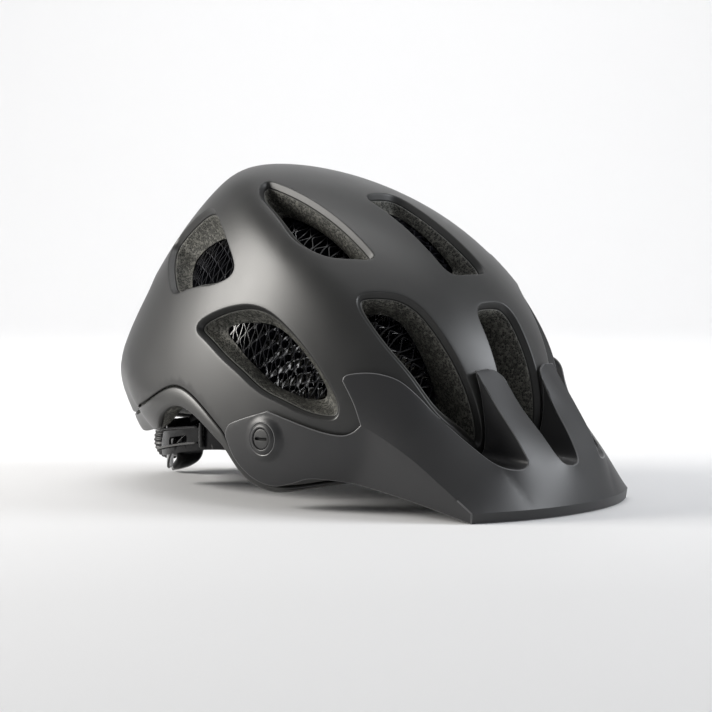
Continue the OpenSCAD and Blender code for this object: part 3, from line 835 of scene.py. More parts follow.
# half of the visor's edges, towards +X; the other half mirrors them
ARM_LOW = [(75.2, -174.2, 0), (76, -165, 2.2), (78, -145, 7.5), (82, -125, 12.2), (86, -105, 16.2),
           (90, -90, 18.4), (93, -76, 19), (96, -64, 15.5), (97.5, -52, 13.5), (100.5, -40, 17.5),
           (104.5, -29, 28), (107.5, -22, 41)]
ARM_TOP = [(107.5, -22, 41), (107.5, -22.6, 44.6), (107, -27, 49), (105, -50, 56.3), (104.7, -53, 56.5),
           (103.5, -65, 53), (101, -77, 49.3), (98, -88, 46.3), (94, -98, 45), (91, -104, 47),
           (89.5, -108.5, 51)]
CREASE_LINE = [(89.5, -108.5, 51), (86, -122, 44), (82.5, -140, 33), (79, -157, 20), (76, -175, 6)]
REAR_EDGE = [(89.5, -108.5, 51), (92.6, -105, 63), (95, -99, 75.5)]
OPEN_EDGE = [(95, -99, 75.5), (93.8, -101, 79), (87.5, -111, 80.4), (82, -119.5, 79), (76.7, -126.8, 75.3),
             (70, -134, 67), (65, -141, 58), (60, -152, 47.5), (56, -163, 38.5), (52.5, -171, 32.3),
             (48.5, -176.8, 28.8), (43.5, -180.3, 27.5), (38.5, -182.3, 27.4), (35.2, -182.8, 28.9),
             (34.0, -182.5, 31.8), (34.5, -179.5, 37), (35.3, -174.5, 45), (36.6, -163.2, 60),
             (37, -154, 72), (37.2, -148, 80.5)]
FIN_TOP = [(37.2, -148, 80.5), (30, -148.6, 81), (23, -150.6, 79.8), (18.3, -152.9, 76.5), (16.6, -157, 70),
           (15, -165, 58), (12.2, -176.5, 44), (9.6, -184.5, 33), (6.2, -188, 28.2), (0, -189, 26.8)]
RIDGE_AT = 48.5
VISOR_T = 1.3
VISOR_BEVEL = 0.55       # width of the bevel, which carries the painted highlight
BEVEL_REACH = 0.3        # how far a sound bevel can lie below the uncut surface
PIVOT = (-50, 41)
BOSS_X = 107.3           # the plate rises to this half width around the screw
LIP_H = 6.0


def visor_clearance(p):
    p = np.asarray(p, float) - CORE
    r = np.linalg.norm(p, axis=-1)
    return r - outer_radius(p / r[..., None])


def side_x(y, z):
    """Half width of the visor's side: the wider of the bowl's moved-out skin and a plane towards the lip."""
    crease_z = 6 + 45 * (y + 175) / 66.5
    plane = 76 + 0.203 * (y + 175) - 0.14 * np.maximum(crease_z - z, 0)
    x = (skin_x(y, z, VISOR_GAP) ** 80.0 + plane ** 80.0) ** (1 / 80)
    boss = 1 - ease(9, 13.5, np.hypot(y - PIVOT[0], z - PIVOT[1]))
    return x + (BOSS_X - x) * boss


def on_side(points):
    p = np.array(points, float)
    p[:, 0] = side_x(p[:, 1], p[:, 2])
    return p


def curve(points, step=2.6):
    p = np.asarray(points, float)
    length = np.linalg.norm(np.diff(p, axis=0), axis=1).sum()
    return open_spline(p, max(2, round(length / step)))


def membrane(loop, axes, spacing, bulge=0.0, holes=()):
    """A soap-film patch inside a closed 3-D loop. axes span its plane, and bulge lifts its middle."""
    axes = np.array(axes, float)
    flat = loop @ axes.T
    flipped = signed_area(flat) < 0
    if flipped:
        loop, flat = loop[::-1], flat[::-1]
    uv, tris, index = fill(flat, holes, spacing)
    n = len(uv)
    fixed = np.zeros(n, bool)
    pos = np.zeros((n, 3))
    fixed[index[0]] = True
    pos[index[0]] = loop
    links = [set() for _ in range(n)]
    for a, b, c in tris:
        links[a] |= {b, c}
        links[b] |= {a, c}
        links[c] |= {a, b}
    free = np.flatnonzero(~fixed)
    if len(free):
        place = {v: i for i, v in enumerate(free)}
        m = np.eye(len(free))
        rhs = np.zeros((len(free), 3))
        load = np.ones((len(free), 1))
        for v in free:
            near_ids = links[v]
            if not near_ids:
                continue
            for w in near_ids:
                if fixed[w]:
                    rhs[place[v]] += pos[w] / len(near_ids)
                else:
                    m[place[v], place[w]] -= 1 / len(near_ids)
        solved = np.linalg.solve(m, np.hstack([rhs, load]))
        normal = np.cross(axes[0], axes[1])
        height = solved[:, 3:] / max(solved[:, 3].max(), 1e-9)
        pos[free] = solved[:, :3] + normal / np.linalg.norm(normal) * bulge * height
    return pos, tris, uv, index


def mirrored(points):
    return np.asarray(points) * [-1, 1, 1]


def add_patch(b, pos, tris):
    ids = b.add(pos)
    b.face(ids[tris])


def reach_bowl(p, direction, gap=3.6):
    """The point where a ray from p meets the bowl's skin moved out by gap."""
    direction = np.array(direction, float) / np.linalg.norm(direction)
    lo, hi = 0.0, 80.0
    if visor_clearance(p[None])[0] < gap + 0.5:
        return p + direction * 0.6
    for _ in range(24):
        t = (lo + hi) / 2
        if visor_clearance((p + direction * t)[None])[0] > gap:
            lo = t
        else:
            hi = t
    return p + direction * max(lo, 0.6)


def build_visor():
    low, arm = on_side(curve(ARM_LOW)), on_side(curve(ARM_TOP))
    crease = on_side(curve(CREASE_LINE))
    low[-1] = arm[0]
    crease[0] = arm[-1]
    crease[-1] = (76, -175, 6)
    low[0] = (75.2, -174.2, 0)
    rear = curve([tuple(crease[0])] + REAR_EDGE[1:])
    rear[0] = crease[0]
    opening = curve([tuple(rear[-1])] + OPEN_EDGE[1:], 2.2)
    opening[0] = rear[-1]
    fin = curve([tuple(opening[-1])] + FIN_TOP[1:], 2.2)
    fin[0] = opening[-1]
    split = int(np.argmin(np.abs(opening[:, 0] - RIDGE_AT) + 0.05 * np.abs(opening[:, 2] - 28.8)))
    x_lip = np.linspace(40, 76, 15)
    lip_side = np.stack([x_lip, lip_y(x_lip), np.full(15, LIP_H)], -1)
    lip_side[-1] = crease[-1]
    ridge = curve([tuple(opening[split]), (45, -183.2, 18), tuple(lip_side[0])])
    ridge[0], ridge[-1] = opening[split], lip_side[0]
    x_mid = np.linspace(-40, 40, 33)
    lip_mid = np.stack([x_mid, lip_y(x_mid), np.full(33, LIP_H)], -1)
    lip_mid[-1] = lip_side[0]
    lip_mid[0] = mirrored(lip_side[0])

    b = Builder()
    # side plates, with a round hole for the bush
    outline = np.concatenate([low[:-1], arm[:-1], crease])
    flat = outline[:, 1:]
    hole = np.array([(PIVOT[0] + 9.1 * math.cos(a), PIVOT[1] + 9.1 * math.sin(a))
                     for a in np.radians(np.arange(0, 360, 7.5))])
    if signed_area(flat) < 0:
        outline, flat = outline[::-1], flat[::-1]
    rings = [(hole - PIVOT) * f + PIVOT for f in (1.07, 1.15, 1.24, 1.33, 1.44, 1.56)]
    uv, tris, index = fill(flat, [hole], 3.2, rings)
    side = np.column_stack([side_x(uv[:, 0], uv[:, 1]), uv])
    side[index[0]] = outline
    for s in (1, -1):
        add_patch(b, side * [s, 1, 1], tris)
    # side panels above the crease
    loop = np.concatenate([crease[::-1][:-1], rear[:-1], opening[:split], ridge[:-1], lip_side[:-1]])
    pos, tris, _, _ = membrane(loop, [(0.45, 0.75, 0.48), (-0.7, 0.0, 0.7)], 3.0, 1.6)
    for s in (1, -1):
        add_patch(b, pos * [s, 1, 1], tris)
    # front panel with both fins
    half = np.concatenate([ridge[::-1][:-1], opening[split:-1], fin])
    loop = np.concatenate([lip_mid[:-1], half[:-1], mirrored(half[::-1])[:-1]])
    pos, tris, _, _ = membrane(loop, [(1, 0, 0), (0, 0.6, 0.8)], 2.8, 1.2)
    add_patch(b, pos, tris)
    # lip band
    lip = np.concatenate([mirrored(lip_side[::-1])[:-1], lip_mid[:-1], lip_side])
    base = lip * [75.2 / 76, 1, 0] + [0, 0.8, 0]
    base[0], base[-1] = mirrored(low[0]), low[0]
    b.grid([lip * (1 - f) + base * f for f in (0, 0.5, 1)])
    # flanks of the fins and floors of the openings, back towards the bowl
    first = int(np.argmin(np.abs(opening[:, 2] - 55) + 100 * (opening[:, 0] < 60)))
    for s in (1, -1):
        edge = opening[first:] * [s, 1, 1]
        ends = np.array([reach_bowl(p, (-s * 0.04, 1, 0.10)) for p in edge])
        ends = np.vstack([ends[:1], (ends[:-2] + 2 * ends[1:-1] + ends[2:]) / 4, ends[-1:]])
        b.grid([edge * (1 - f) + ends * f for f in (0, 0.06, 0.3, 0.6, 0.85, 1)])
    edge = np.concatenate([fin, mirrored(fin[::-1])[1:]])
    keep = slice(4, -4)
    edge = edge[keep]
    ends = np.array([reach_bowl(p, (0.0, 1, 0.08)) for p in edge])
    b.grid([edge * (1 - f) + ends * f for f in (0, 0.06, 0.3, 0.6, 0.85, 1)])
    obj = b.build("visor_shell", [M_VISOR, M_EDGE_HIGHLIGHT], 34, [crease, mirrored(crease), lip])
    modifier(obj, "SOLIDIFY", thickness=VISOR_T * MM, offset=-1, use_even_offset=True, thickness_clamp=1.0,
             use_quality_normals=True)
    apply_modifiers(obj)
    mesh = obj.data
    uncut = BVHTree.FromPolygons([v.co for v in mesh.vertices], [list(f.vertices) for f in mesh.polygons])
    # the bevel faces take the lighter edge material, a painted highlight along the visor's edges
    modifier(obj, "BEVEL", width=VISOR_BEVEL * MM, segments=2, limit_method="ANGLE", angle_limit=math.radians(50),
             material=1, use_clamp_overlap=False, loop_slide=False)
    apply_modifiers(obj)
    # on narrow faces a bevel can run away from the edge it cuts, so stray points go back to the uncut surface
    for v in obj.data.vertices:
        spot, _, _, gap = uncut.find_nearest(v.co)
        if gap > BEVEL_REACH * MM:
            v.co = spot
    modifier(obj, "WEIGHTED_NORMAL", keep_sharp=True, weight=50)
    return finish_piece(obj, "visor", "visor", "visor")


build_visor()


# ---------------------------------------------------------------- small-part helpers


def unit_vector(v):
    v = np.array(v, float)
    return v / np.linalg.norm(v)


def lathe(b, origin, axis, profile, n=48, ribs=0, depth=0.0):
    """Turns closed (place along the axis, radius) points about an axis; ribs shape every radius over 80%."""
    axis = unit_vector(axis)
    side = unit_vector(np.cross(axis, [0, 0, 1.0] if abs(axis[2]) < 0.9 else [1.0, 0, 0]))
    up = np.cross(axis, side)
    a = np.arange(n) * 2 * np.pi / n
    widest = max(r for _, r in profile)
    rows = []
    for t, r in profile:
        wave = depth * (0.5 * np.cos(ribs * a) - 0.5) if ribs and r > 0.8 * widest else 0
        rows.append(np.array(origin, float) + axis * t
                    + (r + wave) [..., None] * (np.outer(np.cos(a), side) + np.outer(np.sin(a), up))
                    if ribs and r > 0.8 * widest else
                    np.array(origin, float) + axis * t + r * (np.outer(np.cos(a), side)
                                                              + np.outer(np.sin(a), up)))
    ids = b.grid(rows, closed=True)
    if profile[0][1] > 0 and profile[-1][1] > 0:
        b.bridge(ids[-1], ids[0])
    return rows


def tube(b, path, radius, n=8):
    """A round strand along a path; radius is one number or one a station."""
    path = np.asarray(path, float)
    radius = np.broadcast_to(radius, len(path))
    tangent = np.gradient(path, axis=0)
    side = unit_vector(np.cross(tangent[0], [0.3, 0.2, 1]))
    a = np.arange(n) * 2 * np.pi / n
    rows = []
    for p, t, r in zip(path, tangent, radius):
        t = unit_vector(t)
        side = unit_vector(side - t * side.dot(t))
        rows.append(p + r * (np.outer(np.cos(a), side) + np.outer(np.sin(a), np.cross(t, side))))
    ids = b.grid(rows, closed=True)
    b.face([ids[0], ids[-1]])


def rounded_rect(w, h, r, n=5, centre=(0, 0)):
    corners = [(w / 2 - r, h / 2 - r, 0), (-w / 2 + r, h / 2 - r, 90), (-w / 2 + r, -h / 2 + r, 180),
               (w / 2 - r, -h / 2 + r, 270)]
    points = [(x + r * math.cos(a), y + r * math.sin(a)) for x, y, start in corners
              for a in np.radians(np.linspace(start, start + 90, n))]
    return np.array(points) + centre


def plate(b, outline, holes, levels, to_space, spacing):
    """A plate with through holes; to_space(points, level) places its lower and upper faces."""
    uv, tris, index = fill(outline, holes, spacing)
    low, top = (b.add(to_space(uv, level)) for level in levels)
    b.face(top[tris])
    b.face(low[tris][:, ::-1])
    for ring in index:
        b.bridge(top[ring], low[ring])


def flat_space(origin, ex, ey, ez):
    origin, ex, ey, ez = (np.array(v, float) for v in (origin, ex, ey, ez))
    return lambda uv, level: origin + uv[:, :1] * ex + uv[:, 1:] * ey + level * ez


def evened(points, step):
    """A closed loop resampled at an even step."""
    p = np.vstack([points, points[:1]])
    s = np.concatenate([[0], np.cumsum(np.linalg.norm(np.diff(p, axis=0), axis=1))])
    at = np.linspace(0, s[-1], max(12, round(s[-1] / step)), endpoint=False)
    return np.stack([np.interp(at, s, p[:, k]) for k in range(2)], -1)


def slack(azimuth_deg):
    """How far the loosened cradle stands off the back of the head."""
    return 14 * ease(45, 90, np.degrees(np.arcsin(np.sin(np.radians(azimuth_deg)))))


def belt_space(tuck=0.0):
    """Places (azimuth, chart radius) points on the head form."""
    def to_space(ap, level):
        a, p = ap[:, 0], ap[:, 1]
        side = np.degrees(np.arcsin(np.sin(np.radians(a))))
        uv = np.stack([p * np.cos(np.radians(a)), p * np.sin(np.radians(a))], -1)
        return inner(uv, level + slack(a) - tuck * (1 - ease(50, 75, side)))
    return to_space


def belt_outline(a0, a1, upper, lower, n):
    """Closed outline of a belt with rounded ends, as (azimuth, chart radius)."""
    s = np.linspace(0, 1, n)
    taper = np.sqrt(np.clip(1 - (np.abs(2 * s - 1) - 0.94).clip(0) ** 2 / 0.0036, 0.02, 1))
    mid, half = (upper(s) + lower(s)) / 2, (lower(s) - upper(s)) / 2 * taper
    a = a0 + (a1 - a0) * s
    return np.concatenate([np.stack([a, mid - half], -1), np.stack([a, mid + half], -1)[::-1]])


def slot_hole(a, p, length, height):
    return rounded_rect(length, height, min(length, height) * 0.49, 4, (a, p))


# ---------------------------------------------------------------- visor hardware

BUSH_IN, HEAD_IN, BUSH_OUT = 105.3, 106.6, 108.6
SCREW_R = 5.85


def build_pivot(side, name):
    axis = (side, 0, 0)
    origin = (0, *PIVOT)
    b = Builder()
    lathe(b, origin, axis, [(BUSH_IN, 4.3), (BUSH_IN, 8.7), (106.9, 8.95), (107.35, 8.9), (107.55, 8.6),
                            (107.9, 8.1), (108.25, 7.5), (108.45, 6.9), (108.4, 6.45), (108.2, 6.15),
                            (107.7, 6.05), (HEAD_IN, 6.05), (HEAD_IN, 4.3)], 72)
    obj = b.build("bush_" + name, [M_VISOR], 50)
    finish_piece(obj, "visor", "visor_screw", "visor_bush_" + name)

    b = Builder()
    a = np.radians(np.arange(0, 360, 7.5))
    rim = np.stack([np.cos(a), np.sin(a)], -1)
    slot = rounded_rect(9.0, 1.7, 0.6, 4)
    top, edge_r = 108.05, SCREW_R - 0.5

    def place_on(uv, x):
        return np.column_stack([np.full(len(uv), side * 1.0) * x, PIVOT[0] + uv[:, 0], PIVOT[1] + uv[:, 1]])

    uv, tris, index = fill(rim * edge_r, [slot], 0.9)
    dome = top + 0.25 * (1 - (np.linalg.norm(uv, axis=1) / edge_r) ** 2)
    face = b.add(place_on(uv, dome))
    b.face(face[tris])
    floor = b.add(place_on(slot, top - 1.3))
    # the slot's walls and floor take the near-black slot material, painted shade in the recess
    b.bridge(face[index[1]], floor, slot=1)
    b.face([floor], 1)
    last = face[index[0]]
    for x, r in ((top - 0.12, SCREW_R - 0.2), (top - 0.42, SCREW_R), (HEAD_IN, SCREW_R), (HEAD_IN, 4.15),
                 (102, 4.15), (102, 2.45), (90.6, 2.45), (90, 2.0)):
        row = b.add(place_on(rim * r, x))
        b.bridge(last, row)
        last = row
    b.face([last])
    obj = b.build("screw_" + name, [M_SCREW, M_SLOT_SHADE], 40)
    finish_piece(obj, "visor_screw_" + name, "visor_screw", "visor_screw_" + name)

    b = Builder()
    lathe(b, origin, axis, [(88, 2.6), (88, 6.8), (88.3, 7.15), (89.7, 7.15), (90, 6.8), (90.2, 4.9),
                            (90.6, 4.55), (93, 4.55), (93.4, 4.2), (94.4, 4.2), (94.8, 4.55), (100.4, 4.55),
                            (100.8, 4.2), (100.8, 2.8), (100.5, 2.6)], 60, 30, 0.3)
    obj = b.build("insert_" + name, [M_BRASS], 40)
    finish_piece(obj, "root", "insert", "visor_insert_" + name)


# ---------------------------------------------------------------- cradle

ARM_PIN = inner(np.array([[65.0, -80.0]]), 2.4)[0]
DIAL = np.array([0, 121, 21.5])
DIAL_R, DIAL_T, DIAL_RIBS = 13.0, 8.0, 28


def arm_mid(s):
    return 103 + 16 * ease(0, 0.55, s)


def build_arm(side, name):
    b = Builder()
    outline = belt_outline(-56, 50, lambda s: arm_mid(s) - 4.5 + s, lambda s: arm_mid(s) + 4.5 - s, 70)
    holes = [slot_hole(a, float(arm_mid((a + 56) / 106)), 9, 2.4) for a in (-36, -22, -8)]
    holes.append(slot_hole(34, 119, 14, 2.2))
    to_space = belt_space()
    plate(b, outline, holes, (1.6, 3.2), lambda ap, t: to_space(ap, t) * [side, 1, 1], 1.5)
    obj = rounded(b.build("arm_" + name, [M_ARM], 35), 0.35, 2)
    finish_piece(obj, "arm_" + name, "arm", "cradle_arm_" + name)

    b = Builder()
    lathe(b, ARM_PIN * [0, 1, 1], (side, 0, 0), [(ARM_PIN[0] - 5, 0), (ARM_PIN[0] - 5, 1.6),
                                                 (ARM_PIN[0] - 4.6, 2), (ARM_PIN[0] + 6, 2),
                                                 (ARM_PIN[0] + 6, 3.7), (ARM_PIN[0] + 6.3, 4),
                                                 (ARM_PIN[0] + 7.4, 4), (ARM_PIN[0] + 8, 3.2),
                                                 (ARM_PIN[0] + 8, 0)], 32)
    obj = b.build("pin_" + name, [M_PIN], 40)
    finish_piece(obj, "root", "pin", "arm_pin_" + name)

    b = Builder()
    for p in (115, 120):
        a = np.linspace(70, 19, 40)
        uv = np.stack([p * np.cos(np.radians(a)), p * np.sin(np.radians(a))], -1)
        tube(b, inner(uv, 5.2 + slack(a)) * [side, 1, 1], 0.6, 10)
    obj = b.build("lace_" + name, [M_LACE])
    finish_piece(obj, "arm_" + name, "lace", "lace_" + name)

    b = Builder()
    p = np.linspace(113.2, 121.8, 22)
    a = math.radians(16)
    uv = np.stack([p * math.cos(a), p * math.sin(a)], -1)
    f = np.abs(np.linspace(-1, 1, 22))
    tube(b, inner(uv, 5.2) * [side, 1, 1], 1.45 * np.sqrt(np.clip(1 - f ** 6, 0.06, 1))
         - 0.25 * np.cos(f * 9) ** 4, 16)
    obj = b.build("guide_" + name, [M_PIN])
    finish_piece(obj, "arm_" + name, "pin", "lace_guide_" + name)


def bar(b, stations, tip=0.0):
    """A flat bar of rounded section along smooth [length, height, half width, thickness] stations."""
    q = open_spline(stations, 36)
    mid = q[:, :2]
    run = np.gradient(mid, axis=0)
    run /= np.linalg.norm(run, axis=1)[:, None]
    a = np.arange(28) * 2 * np.pi / 28
    c, s = np.cos(a), np.sin(a)
    square = (np.sign(c) * np.abs(c) ** 0.35, np.sign(s) * np.abs(s) ** 0.7)
    rows = []
    for k, (m, r, w) in enumerate(zip(mid, run, q[:, 2:])):
        end = min(k, len(mid) - 1 - k) / 3
        shrink = math.sqrt(1 - (1 - min(end, 1)) ** 2) * 0.999 + 0.001
        narrow = 1 - tip * ease(0.72, 1.0, k / (len(mid) - 1)) * 0.55
        half = w[0] * narrow - 0.5 * w[1] * (1 - shrink)
        thick = w[1] / 2 * max(shrink, 0.35)
        across = -r[1] * thick * square[1], r[0] * thick * square[1]
        rows.append(np.stack([half * square[0], m[0] + across[0], m[1] + across[1]], -1))
    ids = b.grid(rows, closed=True)
    b.face([ids[0], ids[-1]])


def build_cradle():
    def lower(s):
        m = np.abs(2 * s - 1)
        return 121 + 6 * ease(0.35, 0.5, m) - 8 * ease(0.5, 1, m)

    b = Builder()
    outline = belt_outline(32, 148, lambda s: 113.5 + 0 * s, lower, 90)
    holes = [slot_hole(90 + s * a, 117.6, 9, 3.2) for s in (-1, 1) for a in (16, 30, 43)]
    plate(b, outline, holes, (-1, 0.8), belt_space(3.0), 1.5)
    bar(b, [(96.5, 68, 6, 1.6), (97, 50, 6, 1.6), (100, 40, 6, 1.8), (110.3, 28, 8, 1.8)])
    bar(b, [(109, 22, 13, 3), (108.8, 11.5, 11, 4.4), (114.2, 6.2, 8.2, 5), (124.2, 1.6, 3.6, 2.8)], 1.0)
    obj = rounded(b.build("cradle_yoke_skin", [M_YOKE], 45), 0.35, 2, 50)
    finish_piece(obj, "cradle", "cradle", "cradle_yoke")

    b = Builder()
    back = DIAL[1]
    lathe(b, DIAL * [1, 0, 1], (0, 1, 0), [(112.4, 0), (112.4, 11.1), (112.8, 11.5), (back - 0.9, 11.5),
                                           (back - 0.5, 11.1), (back - 0.5, 9.5), (back - 0.8, 9.2),
                                           (114.4, 9.2), (114.4, 0)], 64)
    obj = b.build("dial_cup", [M_YOKE], 40)
    finish_piece(obj, "cradle", "cradle", "dial_housing")

    b = Builder()
    lathe(b, DIAL * [1, 0, 1], (0, 1, 0), [(115, 0), (115, 8.7), (115.3, 9), (116.3, 9), (116.5, 7.1),
                                           (back - 1.6, 7.1), (back - 1.4, 9), (back - 0.5, 9),
                                           (back - 0.2, 8.7), (back - 0.2, 0)], 64)
    obj = b.build("spool", [M_PIN], 40)
    finish_piece(obj, "dial", "pin", "lace_spool")

    b = Builder()
    r, t = DIAL_R, DIAL_T
    lathe(b, DIAL, (0, 1, 0), [(0, 0), (0, r - 0.9), (0.3, r - 0.35), (0.9, r), (t - 1.6, r),
                               (t - 0.8, r - 0.35), (t - 0.3, r - 1.1), (t - 0.1, r - 2.1),
                               (t - 0.15, r - 3.0), (t - 0.9, r - 3.8), (t - 1.0, 6), (t - 0.95, 3),
                               (t - 0.9, 0)], DIAL_RIBS * 8, DIAL_RIBS, 0.9)
    obj = b.build("dial_knob", [M_DIAL], 40)
    finish_piece(obj, "dial", "dial", "dial")


def chart_space(uv, level):
    return inner(uv, level)


def build_rail():
    b = Builder()
    outline = evened(rounded_rect(17.6, 21.6, 3, 6, (0, 83)), 1.2)
    holes = [rounded_rect(2.6, 15, 1.2, 5, (s * 5.4, 83)) for s in (-1, 1)]
    plate(b, outline, holes, (3.2, 5.4), chart_space, 1.3)
    obj = rounded(b.build("rail", [M_PIN], 35), 0.4, 2)
    finish_piece(obj, "root", "pin", "height_rail")
    b = Builder()
    outline = evened(rounded_rect(13.6, 27.6, 3, 6, (0, 90)), 1.2)
    holes = [rounded_rect(6, 3.2, 1.5, 5, (0, v)) for v in (81, 87.5, 94)]
    plate(b, outline, holes, (1.2, 2.6), chart_space, 1.3)
    obj = rounded(b.build("slider", [M_ARM], 35), 0.3, 2)
    finish_piece(obj, "height_slider", "arm", "height_slider")


# ---------------------------------------------------------------- pads

PAD_LOW, PAD_HIGH = -3.1, 0.2       # offsets from the head form, a little inside the CAD pads
PAD_STEP = 2.2


def swell(obj, cap, pressure):
    """Fills a padded piece out with a short cloth simulation and keeps its result."""
    rest = np.array([v.co[:] for v in obj.data.vertices])
    cloth = obj.modifiers.new("Cloth", "CLOTH")
    cloth.settings.quality = 6
    cloth.settings.mass = 0.002
    cloth.settings.use_pressure = True
    cloth.settings.uniform_pressure_force = pressure
    cloth.settings.effector_weights.gravity = 0
    cloth.point_cache.frame_start, cloth.point_cache.frame_end = 1, 20
    scene = bpy.context.scene
    for f in range(1, 21):
        scene.frame_set(f)
    now = obj.evaluated_get(bpy.context.evaluated_depsgraph_get())
    moved = np.array([v.co[:] for v in now.data.vertices]) - rest
    obj.modifiers.remove(cloth)
    scene.frame_set(1)
    far = np.linalg.norm(moved, axis=1)[:, None]
    rest += moved * np.minimum(1, cap * MM / np.maximum(far, 1e-9))
    obj.data.vertices.foreach_set("co", rest.ravel())
    obj.data.update()


def pad_grid(corners, across, down, level, polar=False):
    """Rounded pad outline as a grid of points on the head form."""
    (x0, x1), (y0, y1) = corners
    rows = []
    for t in np.linspace(-1, 1, down):
        row = []
        for s in np.linspace(-1, 1, across):
            x, y = s * math.sqrt(1 - 0.16 * t * t), t * math.sqrt(1 - 0.16 * s * s)
            row.append(((x0 + x1) / 2 + x * (x1 - x0) / 2, (y0 + y1) / 2 + y * (y1 - y0) / 2))
        rows.append(row)
    grid = np.array(rows)
    if polar:
        a, p = np.radians(grid[..., 0]), grid[..., 1]
        grid = np.stack([p * np.cos(a), p * np.sin(a)], -1)
    return inner(grid, level)


def quilt(obj, lines, depth, width):
    """Presses sewn channels into a pad's head side: lines are polylines of bowl-frame points."""
    co = np.array([v.co[:] for v in obj.data.vertices])
    here = co / MM - FRAME_SHIFT
    pull = np.zeros(len(co))
    for line in lines:
        gap = np.sqrt(((here[:, None] - np.asarray(line)[None]) ** 2).sum(-1)).min(1)
        pull = np.maximum(pull, np.exp(-(gap / width) ** 2))
    away = here - CORE
    away /= np.linalg.norm(away, axis=1)[:, None]
    side = head_radius(away) - np.linalg.norm(here - CORE, axis=1)
    co += away * (pull * depth * ease(0.8, 2.6, side) * MM)[:, None]
    obj.data.vertices.foreach_set("co", co.ravel())
    obj.data.update()


def build_pads(name, node, patches):
    """Each patch is its chart limits, whether they are polar, and how many channels cross it."""
    for k, (x, y, polar, channels) in enumerate(patches):
        corners = pad_grid((x, y), 5, 5, 0, polar)
        across = max(6, round(np.linalg.norm(np.diff(corners[2], axis=0), axis=1).sum() / PAD_STEP))
        down = max(6, round(np.linalg.norm(np.diff(corners[:, 2], axis=0), axis=1).sum() / PAD_STEP))
        b = Builder()
        top, low = (pad_grid((x, y), across, down, level, polar) for level in (PAD_HIGH, PAD_LOW))
        slab(b, top, low)
        obj = b.build(f"{name}_{k}" if len(patches) > 1 else name, [M_PAD])
        swell(obj, 1.4, PAD_PRESSURE)
        modifier(obj, "SUBSURF", levels=2, render_levels=2)
        apply_modifiers(obj)
        lines = []
        long_x = across >= down
        for c in range(channels):
            f = (c + 1) / (channels + 1)
            t = np.linspace(0.06, 0.94, 50)
            if long_x:
                line = [(x[0] + (x[1] - x[0]) * f + 0 * s, y[0] + (y[1] - y[0]) * s) for s in t]
            else:
                line = [(x[0] + (x[1] - x[0]) * s, y[0] + (y[1] - y[0]) * f + 0 * s) for s in t]
            uv = np.array(line)
            if polar:
                a = np.radians(uv[:, 0])
                uv = np.stack([uv[:, 1] * np.cos(a), uv[:, 1] * np.sin(a)], -1)
            lines.append(inner(uv, PAD_LOW))
        quilt(obj, lines, 1.5, 1.3)
        finish_piece(obj, "root", "pad", node)
        edge = pad_grid((x, y), across, down, -1.4, polar)
        ring = np.concatenate([edge[0], edge[1:, -1], edge[-1, ::-1][1:], edge[::-1, 0][1:-1]])
        ring = ring + 0.35 * (ring - np.mean(ring, 0)) / np.linalg.norm(ring - np.mean(ring, 0), axis=1)[:,
                                                                                                         None]
        for _ in range(2):
            ring = (np.roll(ring, 1, 0) + 2 * ring + np.roll(ring, -1, 0)) / 4
        piping(f"{name}_binding_{k}", ring, node)


def piping(name, ring, node):
    """A sewn binding along a closed path."""
    b = Builder()
    tangent = np.roll(ring, -1, 0) - np.roll(ring, 1, 0)
    away = ring - CORE
    away /= np.linalg.norm(away, axis=1)[:, None]
    side = np.cross(tangent, away)
    side /= np.linalg.norm(side, axis=1)[:, None]
    a = np.arange(8) * 2 * np.pi / 8
    sections = [[p + 0.55 * math.cos(t) * s + 1.3 * math.sin(t) * w for t in a] for p, s,
                w in zip(ring, side, away)]
    ids = [b.add(s) for s in sections]
    for one, two in zip(ids, ids[1:] + ids[:1]):
        b.bridge(one, two)
    obj = b.build(name, [M_PIPE])
    modifier(obj, "SUBSURF", levels=1, render_levels=1)
    finish_piece(obj, "root", "pad", node)


PAD_PRESSURE = 6.0
PAD_SETS = [
    ("brow_pad_knit", "brow_pad", [((-125, -55), (96.8, 110.2), True, 7)]),
    ("crown_pad_knit", "crown_pads", [((-5.6, 5.6), (-51, -11), False, 3),
                                      ((18.4, 28.6), (-39, 11), False, 4),
                                      ((-28.6, -18.4), (-39, 11), False, 4),
                                      ((-21, 21), (36.4, 47.6), False, 4)]),
    ("side_pad_knit", "side_pads", [((52.4, 63.6), (-33, 9), False, 3),
                                    ((-63.6, -52.4), (-33, 9), False, 3)]),
]


# ---------------------------------------------------------------- straps

WEB_W, WEB_T = 15.0, 1.6
ANCHORS = [(63, -71), (84, 36)]
FRONT_LEG = [(63, -71, 3.5), (61, -66, -5.2), (53, -50, -6.2), (47, -32, -6.2)]
REAR_LEG = [(84, 36, 3.5), (81, 32, -5.2), (64, 14, -6.2), (50, -8, -6.2)]
CROWN_LEG = [(39, -20, -6.2), (28, -19, -6.2), (17, -18, -6.2), (13, -17.5, -17)]
BUCKLE_AT = np.array([0, -23, inner(np.array([[0.0, 1e-6]]), -22)[0][2]])


def chart_path(path, n):
    q = open_spline(path, n)
    return inner(q[:, :2], q[:, 2])


